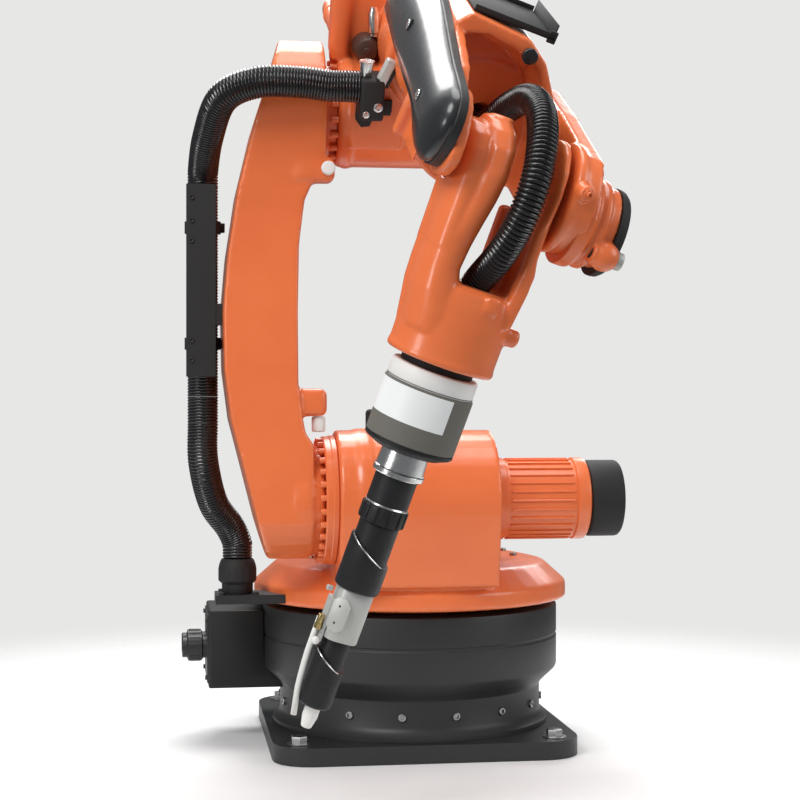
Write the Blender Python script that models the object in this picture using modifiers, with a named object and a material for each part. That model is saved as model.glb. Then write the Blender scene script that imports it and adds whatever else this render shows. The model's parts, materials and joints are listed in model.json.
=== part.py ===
"""Six-axis welding robot with a hollow wrist, built in metres with +Z up.

The origin is the middle of the base plate's underside, on the axis of the first joint.
The robot faces -Y.  Each moving body hangs on an empty that stands on its joint's axis,
so every piece is drawn in its own body's frame and the empties put it in the working pose.
"""
import math

import bmesh
import bpy
from mathutils import Vector

# Gaps and surface steps
SEAT = 0.0003
RUN = 0.006
FINE = 48
ROUND = 32
SMALL = 20

# Working pose, in degrees
ARM_SLOPE = 27.0
WRIST_ROLL = 19.0
WRIST_BEND = 75.0

# Skeleton
A2_FORWARD = 0.180
A2_HEIGHT = 0.400
LINK_LENGTH = 0.600
A4_RISE = 0.120
HUB_REACH = 0.380
WRIST_REACH = 0.250

# Base
BASE_RADIUS = 0.243
BASE_WAIST = BASE_RADIUS - 0.028
PLATE_SIDE = 2 * (BASE_RADIUS - 0.003)
PLATE_THICK = 0.028
PLATE_CORNER = 0.060
PLATE_HOLE = 0.009
PLATE_HOLE_PITCH = PLATE_SIDE / 2 - 0.040
BASE_TOP = A2_HEIGHT - 0.178
BASE_STEP = BASE_TOP - 0.102
BOX_DEPTH = 0.090
BOX_WIDTH = 0.150
BOX_LOW = PLATE_THICK + 0.057
BOX_HIGH = BASE_TOP - 0.010
PLUG_RADIUS = 0.022
PLUG_LENGTH = 0.042

# Rotating column
COLUMN_RADIUS = BASE_RADIUS + 0.015
COLUMN_RIM = BASE_TOP + 0.010
COLUMN_DECK = COLUMN_RIM + 0.066
GLAND_OUT = COLUMN_RADIUS + 0.032
NECK_RADIUS = 0.200
HOUSING_RADIUS = 0.108
HOUSING_LEFT = -0.1447
HOUSING_RIGHT = 0.100
GEAR_FACE = -0.165
GEAR_RADIUS = 0.100
A2_MOTOR_RADIUS = 0.064
A2_MOTOR_LENGTH = 0.150
MOTOR_CAP = 0.055
A1_MOTOR_RADIUS = 0.060
A1_MOTOR_HEIGHT = 0.185
A1_MOTOR_BACK = 0.150

# Link arm
LINK_DEPTH = 0.156
LINK_FOOT = 0.090
LINK_HEAD = 0.107
LINK_FACE_LOW = -0.182
LUG_THICK = 0.050
BUFFER_RADIUS = 0.0105
BRACKET_LOW = 0.190
BRACKET_HIGH = LINK_LENGTH - 0.120

# Forearm
A3_RADIUS = 0.084
A3_FLANGE = 0.078
SHELL_RADIUS = 0.086
MOTOR_FACE = 0.030
SHELL_FRONT = -0.130
TUBE_RADIUS = 0.062
MOTOR_LENGTH = 0.170

# Yoke
HUB_RADIUS = 0.092
HUB_THICK = 0.050
HUB_BORE = 0.030
LEG_LEFT_OUTER = 0.094
LEG_LEFT_INNER = 0.080
LEG_RIGHT_INNER = 0.074
LEG_RIGHT_OUTER = 0.100
LEG_RADIUS = 0.066
LEG_END_RADIUS = 0.074
SHOULDER_RADIUS = 0.068
BEARING_RADIUS = 0.040
COVER_THICK = 0.036
COVER_BACK = 0.215
ARCH_DEPTH = 0.105
DRIVE_RADIUS = 0.056
DRIVE_LENGTH = 0.040
DRIVE_CAP_RADIUS = 0.050
DRIVE_CAP = 0.014

# Wrist fork
FORK_HALF = 0.074
FORK_HUB = 0.066
FORK_LEFT = -0.050
FORK_RIGHT = 0.068
FORK_WINDOW_RIGHT = 0.048
FORK_RING_TOP = 0.140
FORK_RING_END = 0.235
FORK_RING_RADIUS = 0.067
FORK_BORE = 0.027

# Tool, as places along the sixth axis from the fifth
TOOL_FLANGE_END = 0.2445
MOUNT_RING_END = 0.268
DRUM_END = 0.340
DISC_END = 0.352
SOCKET_END = 0.385
NECK_END = 0.423
KNURL_END = 0.448
BARREL_END = 0.483
SLEEVE_END = 0.537
CLAMP_END = 0.605
BODY_END = 0.697
NOZZLE_END = 0.728
TOOL_FLANGE_RADIUS = 0.046
MOUNT_RING_RADIUS = 0.055
DRUM_RADIUS = 0.057
SOCKET_RADIUS = 0.031
NECK_TUBE_RADIUS = 0.027
KNURL_RADIUS = 0.030
BARREL_RADIUS = 0.0255
SLEEVE_RADIUS = 0.029
TORCH_RADIUS = 0.021
CLAMP_WIDTH = 0.046
GUIDE_RADIUS = 0.004

# Hoses
DRESS_RADIUS = 0.0235
HOSE_LINE = (-0.346, 0.008)
HOSE_SPLIT_LOW = 0.160
HOSE_SPLIT_HIGH = LINK_LENGTH - 0.120
CLIP_LOW = 0.232
CLIP_HIGH = LINK_LENGTH - 0.190
HOLDER_LEFT = -0.1217
HOLDER_SEAT = 0.0885
WRIST_HOSE_RADIUS = 0.0190
HOSE_SEAT = 0.004
HOSE_DEPTH = 0.175
HOSE_MOUTH_RIGHT = 0.010

# Colours: base colour, roughness, metallic
ORANGE = ((0.80, 0.19, 0.06, 1.0), 0.38, 0.0)
ANTHRACITE = ((0.06, 0.063, 0.063, 1.0), 0.35, 0.0)
BLACK = ((0.012, 0.012, 0.012, 1.0), 0.45, 0.0)
DARK_IRON = ((0.030, 0.030, 0.032, 1.0), 0.50, 0.2)
STEEL = ((0.62, 0.62, 0.62, 1.0), 0.28, 1.0)
PALE = ((0.78, 0.77, 0.74, 1.0), 0.55, 0.0)
WARM_GREY = ((0.13, 0.12, 0.10, 1.0), 0.55, 0.0)
LIGHT_GREY = ((0.55, 0.56, 0.55, 1.0), 0.40, 0.3)


def clear_scene():
    """Remove every object that the file starts with."""
    for obj in list(bpy.data.objects):
        bpy.data.objects.remove(obj, do_unlink=True)


def new_collection(name):
    """Make a collection and link it to the scene."""
    made = bpy.data.collections.new(name)
    bpy.context.scene.collection.children.link(made)
    return made


def finish_material(name, look):
    """Make a Principled material from a colour, a roughness and a metallic value."""
    colour, roughness, metallic = look
    made = bpy.data.materials.new(name)
    made.use_nodes = True
    shader = made.node_tree.nodes["Principled BSDF"]
    shader.inputs["Base Color"].default_value = colour
    shader.inputs["Roughness"].default_value = roughness
    shader.inputs["Metallic"].default_value = metallic
    return made


def empty(name, parent=None, location=(0, 0, 0), rotation=(0, 0, 0)):
    """Add a frame that pieces are parented to."""
    made = bpy.data.objects.new(name, None)
    PARTS.objects.link(made)
    made.parent = parent
    made.location = location
    made.rotation_euler = [math.radians(angle) for angle in rotation]
    return made


def put(obj, frame, location=(0, 0, 0), rotation=(0, 0, 0)):
    """Parent an object to a frame and place it there."""
    obj.parent = frame
    obj.location = location
    obj.rotation_euler = [math.radians(angle) for angle in rotation]
    return obj


def mesh_object(name, mesh):
    """Put a mesh in the parts collection as an object."""
    made = bpy.data.objects.new(name, mesh)
    PARTS.objects.link(made)
    return made


def dress(obj, look):
    """Name the mesh after its object and give it a material of its own."""
    obj.data.name = obj.name
    obj.data.materials.clear()
    obj.data.materials.append(finish_material(obj.name, look))
    obj.data.shade_smooth()
    obj.data.set_sharp_from_angle(angle=math.radians(35))
    return obj


def box(name, low, high):
    """Make a box from its lowest and highest corners, with its origin at zero."""
    mesh = bpy.data.meshes.new(name)
    shape = bmesh.new()
    bmesh.ops.create_cube(shape, size=1.0)
    size = Vector(high) - Vector(low)
    middle = (Vector(high) + Vector(low)) / 2
    bmesh.ops.scale(shape, vec=size, verts=shape.verts)
    bmesh.ops.translate(shape, vec=middle, verts=shape.verts)
    shape.to_mesh(mesh)
    shape.free()
    return mesh_object(name, mesh)


def turned(name, profile, steps=ROUND, closed=False):
    """Turn a profile of (radius, height) about Z; its outer side runs top to bottom."""
    mesh = bpy.data.meshes.new(name)
    shape = bmesh.new()
    verts = [shape.verts.new((radius, 0, height)) for radius, height in profile]
    for first, second in zip(verts, verts[1:]):
        shape.edges.new((first, second))
    if closed:
        shape.edges.new((verts[-1], verts[0]))
    shape.to_mesh(mesh)
    shape.free()
    made = mesh_object(name, mesh)
    screw = made.modifiers.new("turn", "SCREW")
    screw.axis = "Z"
    screw.steps = steps
    screw.render_steps = steps
    screw.use_merge_vertices = True
    screw.merge_threshold = 0.00001
    return made


def drum(name, radius, low, high, chamfer=0.0, steps=ROUND):
    """Turn a plain drum about Z, with an equal chamfer at both ends."""
    if chamfer:
        side = [(radius - chamfer, high), (radius, high - chamfer),
                (radius, low + chamfer), (radius - chamfer, low)]
    else:
        side = [(radius, high), (radius, low)]
    return turned(name, [(0, high)] + side + [(0, low)], steps)


def outline(name, points, thickness):
    """Extrude a flat outline in XY to a slab that is centred on its plane."""
    curve = bpy.data.curves.new(name, "CURVE")
    curve.dimensions = "2D"
    curve.fill_mode = "BOTH"
    curve.extrude = thickness / 2
    spline = curve.splines.new("POLY")
    spline.points.add(len(points) - 1)
    for point, (x, y) in zip(spline.points, points):
        point.co = (x, y, 0, 1)
    spline.use_cyclic_u = True
    return curve_to_mesh(name, curve)


def tube(name, points, radius, resolution=2):
    """Make a round tube with filled ends along a list of points."""
    curve = bpy.data.curves.new(name, "CURVE")
    curve.dimensions = "3D"
    curve.bevel_depth = radius
    curve.bevel_resolution = resolution
    curve.use_fill_caps = True
    spline = curve.splines.new("POLY")
    spline.points.add(len(points) - 1)
    for point, place in zip(spline.points, points):
        point.co = (*place, 1)
    made = bpy.data.objects.new(name, curve)
    PARTS.objects.link(made)
    curve.materials.append(finish_material(name, BLACK))
    return made


def curve_to_mesh(name, curve):
    """Turn a curve into a mesh object whose caps are welded to its sides."""
    holder = bpy.data.objects.new(name + "_curve", curve)
    PARTS.objects.link(holder)
    bpy.context.view_layer.update()
    evaluated = holder.evaluated_get(bpy.context.evaluated_depsgraph_get())
    mesh = bpy.data.meshes.new_from_object(evaluated)
    shape = bmesh.new()
    shape.from_mesh(mesh)
    bmesh.ops.remove_doubles(shape, verts=shape.verts, dist=0.00002)
    shape.to_mesh(mesh)
    shape.free()
    made = mesh_object(name, mesh)
    made.matrix_world = holder.matrix_world.copy()
    bpy.data.objects.remove(holder, do_unlink=True)
    return made


def combine(obj, tool, operation):
    """Join, cut or intersect with a tool object, which moves to the cutters."""
    modifier = obj.modifiers.new(tool.name, "BOOLEAN")
    modifier.operation = operation
    modifier.object = tool
    modifier.solver = "EXACT"
    PARTS.objects.unlink(tool)
    CUTTERS.objects.link(tool)
    tool.hide_render = True
    tool.display_type = "WIRE"
    return obj


def soften(obj, width, segments=2, angle=40):
    """Round the sharper edges of a piece."""
    modifier = obj.modifiers.new("soften", "BEVEL")
    modifier.width = width
    modifier.segments = segments
    modifier.limit_method = "ANGLE"
    modifier.angle_limit = math.radians(angle)
    modifier.harden_normals = False
    return obj


def arc(centre, radius, start, end, count):
    """Points on an arc, in degrees counted from +X towards +Y, with both ends."""
    x, y = centre
    angles = [math.radians(start + (end - start) * i / (count - 1)) for i in range(count)]
    return [(x + radius * math.cos(a), y + radius * math.sin(a)) for a in angles]


def smooth_route(knots, spacing):
    """Points about one spacing apart on a smooth curve whose two end stretches are straight."""
    knots = [Vector(knot) for knot in knots]
    ends = [2 * knots[0] - knots[1]] + knots + [2 * knots[-1] - knots[-2]]
    route = []
    last = len(knots) - 2
    for index, (before, first, second, after) in enumerate(zip(ends, ends[1:], ends[2:], ends[3:])):
        straight = index in (0, last)
        pieces = 1 if straight else max(2, round((second - first).length / spacing))
        for i in range(pieces):
            t = i / pieces
            route.append(0.5 * (2 * first + (second - before) * t
                                + (2 * before - 5 * first + 4 * second - after) * t ** 2
                                + (3 * first - before - 3 * second + after) * t ** 3))
    return [tuple(point) for point in route + [knots[-1]]]


ALONG_X = (0, 90, 0)
ALONG_FORWARD = (90, 0, 0)
SIDE_VIEW = (90, 0, 90)
FRONT_VIEW = (90, 0, 0)


def build_base(frame):
    """The plate on the floor, the round foot and the connector box at its left."""
    half = PLATE_SIDE / 2
    inner = half - PLATE_CORNER
    corners = [(inner, inner), (-inner, inner), (-inner, -inner), (inner, -inner)]
    points = []
    for index, corner in enumerate(corners):
        points += arc(corner, PLATE_CORNER, 90 * index, 90 * index + 90, 6)
    plate = put(outline("base_plate", points, PLATE_THICK), frame, (0, 0, PLATE_THICK / 2))
    for x in (-PLATE_HOLE_PITCH, PLATE_HOLE_PITCH):
        for y in (-PLATE_HOLE_PITCH, PLATE_HOLE_PITCH):
            hole = drum(f"plate_hole_{x}_{y}", PLATE_HOLE, -0.01, PLATE_THICK + 0.01, steps=SMALL)
            combine(plate, put(hole, frame, (x, y, 0)), "DIFFERENCE")
    dress(plate, DARK_IRON)

    low = PLATE_THICK + SEAT
    foot = turned("base_foot", [(0, BASE_TOP), (BASE_RADIUS - 0.004, BASE_TOP),
                                (BASE_RADIUS, BASE_TOP - 0.004), (BASE_RADIUS, BASE_STEP),
                                (BASE_WAIST, BASE_STEP - 0.025), (BASE_WAIST, low), (0, low)], FINE)
    dress(put(foot, frame), DARK_IRON)

    out = -(BASE_RADIUS + BOX_DEPTH)
    housing = put(box("connector_box", (out, -0.02, BOX_LOW), (-BASE_WAIST + 0.03, -0.02 + BOX_WIDTH,
                                                               BOX_HIGH)), frame)
    hollow = turned("box_saddle", [(0, BASE_TOP), (BASE_RADIUS + SEAT, BASE_TOP),
                                   (BASE_RADIUS + SEAT, BASE_STEP - SEAT),
                                   (BASE_WAIST + SEAT, BASE_STEP - 0.025 - SEAT),
                                   (BASE_WAIST + SEAT, BOX_LOW - 0.035), (0, BOX_LOW - 0.035)], FINE)
    combine(housing, put(hollow, frame), "DIFFERENCE")
    dress(housing, BLACK)
    for index, y in enumerate((0.015, 0.070), 1):
        plug = turned(f"base_plug_{index}", [(0, PLUG_LENGTH), (PLUG_RADIUS - 0.006, PLUG_LENGTH),
                                             (PLUG_RADIUS, PLUG_LENGTH - 0.008), (PLUG_RADIUS, 0.006),
                                             (PLUG_RADIUS - 0.004, 0), (0, 0)], SMALL)
        put(plug, frame, (out - SEAT, y, (BOX_LOW + BOX_HIGH) / 2), (0, -90, 0))
        dress(plug, DARK_IRON)


def build_column(frame):
    """The rotating column with the housing of the second joint and two motors."""
    column = turned("column", [(0, COLUMN_DECK), (0.185, COLUMN_DECK), (0.222, COLUMN_DECK - 0.008),
                               (COLUMN_RADIUS, COLUMN_RIM + 0.026), (COLUMN_RADIUS, COLUMN_RIM),
                               (NECK_RADIUS, COLUMN_RIM), (NECK_RADIUS, BASE_TOP + SEAT),
                               (0, BASE_TOP + SEAT)], FINE)
    put(column, frame)
    front = -A2_FORWARD
    side = arc((front, A2_HEIGHT), HOUSING_RADIUS, 190, 60, 14)
    low = COLUMN_DECK - 0.028
    side += [(front + 0.13, A2_HEIGHT + 0.055), (0.035, A2_HEIGHT), (0.080, low), (front - 0.085, low)]
    width = HOUSING_RIGHT - HOUSING_LEFT
    saddle = put(outline("column_saddle", side, width), frame,
                 ((HOUSING_RIGHT + HOUSING_LEFT) / 2, 0, 0), SIDE_VIEW)
    combine(column, saddle, "UNION")
    dress(column, ORANGE)

    ring = drum("a2_gear_flange", GEAR_RADIUS, 0, HOUSING_LEFT - GEAR_FACE - 2 * SEAT, 0.002, FINE)
    put(ring, frame, (GEAR_FACE + SEAT, front, A2_HEIGHT), ALONG_X)
    dress(ring, ORANGE)

    motor = drum("a2_motor", A2_MOTOR_RADIUS, 0, A2_MOTOR_LENGTH, 0.006)
    put(motor, frame, (HOUSING_RIGHT + SEAT, front, A2_HEIGHT), ALONG_X)
    dress(motor, ORANGE)
    cap = drum("a2_motor_cap", A2_MOTOR_RADIUS - 0.004, 0, MOTOR_CAP, 0.010)
    put(cap, frame, (HOUSING_RIGHT + A2_MOTOR_LENGTH + 2 * SEAT, front, A2_HEIGHT), ALONG_X)
    dress(cap, BLACK)

    deck = COLUMN_DECK + SEAT
    motor = drum("a1_motor", A1_MOTOR_RADIUS, 0, A1_MOTOR_HEIGHT, 0.006)
    dress(put(motor, frame, (0, A1_MOTOR_BACK - 0.005, deck)), ORANGE)
    cap = drum("a1_motor_cap", A1_MOTOR_RADIUS - 0.004, 0, MOTOR_CAP, 0.010)
    dress(put(cap, frame, (0, A1_MOTOR_BACK - 0.005, deck + A1_MOTOR_HEIGHT + SEAT)), BLACK)

    shelf = COLUMN_RIM + 0.018
    foot = put(box("hose_foot", (-GLAND_OUT - 0.035, -0.140, shelf - 0.014), (-GLAND_OUT + 0.090, -0.070, shelf)), frame)
    trim = drum("foot_trim", COLUMN_RADIUS + SEAT, shelf - 0.050, shelf + 0.050, steps=FINE)
    combine(foot, put(trim, frame), "DIFFERENCE")
    dress(foot, DARK_IRON)
    gland = turned("hose_gland_low", [(0, 0.055), (0.020, 0.055), (0.030, 0.045), (0.030, 0.020),
                                      (0.024, 0.014), (0.024, 0), (0, 0)], ROUND)
    dress(put(gland, frame, (-GLAND_OUT, -0.105, shelf + SEAT)), BLACK)


def build_link(frame):
    """The bowed link arm with its stop lugs, buffers and hose bracket."""
    top = LINK_LENGTH
    front = [(LINK_FACE_LOW, -0.110), (-0.230, -0.110), (-0.250, -0.085), (-0.266, -0.030),
             (-0.288, 0.056), (-0.306, 0.125), (-0.316, top / 3), (-0.318, top * 0.48), (-0.311, top * 0.62),
             (-0.296, top - 0.130), (-0.272, top - 0.030), (-0.250, top + 0.040), (-0.228, top + 0.120),
             (GEAR_FACE, top + 0.120), (GEAR_FACE, top - 0.080), (-0.178, top - 0.105),
             (-0.196, top - 0.145), (-0.204, top * 0.65), (-0.206, top * 0.48), (-0.205, top * 0.30),
             (-0.201, 0.140), (-0.194, 0.104), (LINK_FACE_LOW, 0.088)]
    link = put(outline("link_arm", front, 0.300), frame, rotation=FRONT_VIEW)
    half = LINK_DEPTH / 2
    side = arc((0, 0), LINK_FOOT, 200, 340, 12) + [(half, 0.16), (half, top - 0.16)]
    side += arc((0, top), LINK_HEAD, -20, 200, 18) + [(-half, top - 0.16), (-half, 0.16)]
    profile = put(outline("link_profile", side, 0.300), frame, (-0.250, 0, 0), SIDE_VIEW)
    combine(link, profile, "INTERSECT")
    boss = drum("link_boss", 0.084, 0, LINK_FACE_LOW - GEAR_FACE + 0.035, steps=FINE)
    combine(link, put(boss, frame, (GEAR_FACE - 0.018, 0, 0), ALONG_X), "UNION")
    soften(link, 0.007, 2, 50)

    for name, low, high in (("lug_high", (-0.215, -0.092, top - 0.118), (-0.151, -0.092 + LUG_THICK, top - 0.082)),
                            ("lug_low", (-0.222, -0.070, 0.130), (-0.161, -0.070 + LUG_THICK, 0.172))):
        combine(link, soften(put(box(name, low, high), frame), 0.008), "UNION")
    dress(link, ORANGE)

    pad = drum("buffer_high", BUFFER_RADIUS, SEAT, 0.014, 0.002, SMALL)
    dress(put(pad, frame, (-0.163, -0.092, top - 0.100), ALONG_FORWARD), PALE)
    pad = drum("buffer_low", BUFFER_RADIUS, SEAT, 0.024, 0.003, SMALL)
    dress(put(pad, frame, (-0.1730, -0.050, 0.130), (180, 0, 0)), PALE)

    plate = put(box("hose_bracket", (-0.372, -0.045, BRACKET_LOW), (-0.328, -0.037, BRACKET_HIGH)), frame)
    foot = put(box("bracket_foot", (-0.345, -0.044, 0.268), (-0.3184, -0.020, 0.300)), frame)
    combine(plate, foot, "UNION")
    dress(plate, DARK_IRON)
    x, y = HOSE_LINE
    for name, height in (("hose_clip_low", CLIP_LOW), ("hose_clip_high", CLIP_HIGH)):
        inner = DRESS_RADIUS + SEAT
        ring = turned(name, [(inner + 0.004, 0.018), (inner + 0.004, 0), (inner, 0), (inner, 0.018)],
                      ROUND, closed=True)
        put(ring, frame, (x, y, height))
        block = put(box(name + "_block", (x - 0.010, -0.037 + SEAT, height),
                        (x + 0.010, y - inner - 0.001, height + 0.018)), frame)
        combine(ring, block, "UNION")
        dress(ring, BLACK)
    middle = [(x, y, HOSE_SPLIT_LOW), (x, y, (HOSE_SPLIT_LOW + HOSE_SPLIT_HIGH) / 2), (x, y, HOSE_SPLIT_HIGH)]
    put(tube("hose_middle", middle, DRESS_RADIUS), frame)


def build_dress_hoses(column, link):
    """The two loose stretches of the dress hose, at the second and the third joint."""
    x, y = HOSE_LINE
    top = A2_HEIGHT + HOSE_SPLIT_LOW - SEAT
    low = [(x, y - A2_FORWARD, top), (x, y - A2_FORWARD, top - 0.040), (x + 0.001, -0.166, top - 0.100),
           (-GLAND_OUT - 0.039, -0.136, top - 0.165), (-GLAND_OUT - 0.012, -0.113, A2_HEIGHT - 0.045),
           (-GLAND_OUT, -0.105, A2_HEIGHT - 0.073), (-GLAND_OUT, -0.105, A2_HEIGHT - 0.0938)]
    put(tube("hose_low", smooth_route(low, 0.030), DRESS_RADIUS), column)
    top = HOSE_SPLIT_HIGH + SEAT
    mouth = LINK_LENGTH + 0.014
    high = [(x, y, top), (x, y, top + 0.022), (-0.340, -0.060, mouth - 0.066), (-0.320, -0.122, mouth - 0.018),
            (-0.272, -0.145, mouth + 0.002), (-0.210, -0.145, mouth + 0.004), (-0.165, -0.1435, mouth),
            (-0.140, -0.1435, mouth), (HOLDER_LEFT - 3 * SEAT, -0.1435, mouth)]
    put(tube("hose_high", smooth_route(high, 0.030), DRESS_RADIUS), link)


def build_forearm(frame):
    """The forearm: gear housing of the third joint, motor plate, motors and tube."""
    ring = drum("a3_gear_flange", A3_FLANGE, 0, HOUSING_LEFT - GEAR_FACE - 2 * SEAT, 0.002, FINE)
    dress(put(ring, frame, (GEAR_FACE + SEAT, 0, 0), ALONG_X), ORANGE)

    housing = drum("forearm_housing", A3_RADIUS, 0, 0.060 - HOUSING_LEFT, 0.006, FINE)
    put(housing, frame, (HOUSING_LEFT, 0, 0), ALONG_X)
    shell = drum("forearm_shell", SHELL_RADIUS, 0.004 - MOTOR_FACE, -SHELL_FRONT, 0.006, FINE)
    combine(housing, put(shell, frame, (0, 0, A4_RISE), ALONG_FORWARD), "UNION")
    web = box("forearm_web", (-0.062, -0.077, 0.003), (0.055, MOTOR_FACE - 0.008, A4_RISE + 0.002))
    combine(housing, put(web, frame), "UNION")
    pad = box("holder_pad", (HOLDER_LEFT - 0.004, -HOLDER_SEAT, -0.030), (-0.050, -0.040, 0.070))
    combine(housing, put(pad, frame), "UNION")
    plate = box("motor_plate", (-0.157, MOTOR_FACE - 0.026, 0.083), (0.094, MOTOR_FACE, 0.200))
    combine(housing, put(soften(plate, 0.016, 3), frame), "UNION")
    dress(housing, ORANGE)

    for name, x, z, radius, look in (("forearm_motor_1", -0.132, 0.112, 0.021, ORANGE),
                                     ("forearm_motor_2", -0.079, 0.128, 0.029, ANTHRACITE),
                                     ("forearm_motor_3", -0.013, 0.160, 0.032, ORANGE),
                                     ("forearm_motor_4", 0.055, 0.125, 0.032, ORANGE)):
        motor = drum(name, radius, SEAT, MOTOR_LENGTH, 0.005)
        dress(put(motor, frame, (x, MOTOR_FACE, z), (-90, 0, 0)), look)

    reach = HUB_REACH - SEAT
    tube_low = -SHELL_FRONT + SEAT
    arm = turned("forearm_tube", [(0, reach), (0.045, reach), (0.045, HUB_REACH - RUN), (0.058, HUB_REACH - RUN),
                                  (TUBE_RADIUS, HUB_REACH - RUN - 0.004), (TUBE_RADIUS, 0.165),
                                  (0.074, 0.150), (0.074, tube_low), (0, tube_low)], FINE)
    dress(put(arm, frame, (0, 0, A4_RISE), ALONG_FORWARD), ORANGE)

    holder = box("hose_holder", (HOLDER_LEFT, -0.152, 0.034), (-0.087, -HOLDER_SEAT - 0.006, 0.096))
    put(soften(holder, 0.006), frame)
    plate = box("holder_plate", (HOLDER_LEFT, -HOLDER_SEAT - 0.010, -0.022), (-0.070, -HOLDER_SEAT - SEAT, 0.050))
    combine(holder, put(plate, frame), "UNION")
    dress(holder, BLACK)

    plug = turned("motor_plug", [(0, 0.034), (0.009, 0.034), (0.011, 0.030), (0.011, 0.012), (0.0135, 0.010),
                                 (0.0135, 0), (0, 0)], SMALL)
    dress(put(plug, frame, (-0.108, MOTOR_FACE - 0.026 - SEAT, 0.102), ALONG_FORWARD), STEEL)
    block = box("connector_block", (-0.094, MOTOR_FACE - 0.062, 0.105), (-0.066, MOTOR_FACE - 0.026 - SEAT, 0.140))
    trim = drum("connector_trim", SHELL_RADIUS + SEAT, -0.1, 0.2, steps=FINE)
    put(soften(block, 0.004), frame)
    combine(block, put(trim, frame, (0, 0, A4_RISE), ALONG_FORWARD), "DIFFERENCE")
    dress(block, LIGHT_GREY)


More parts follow.
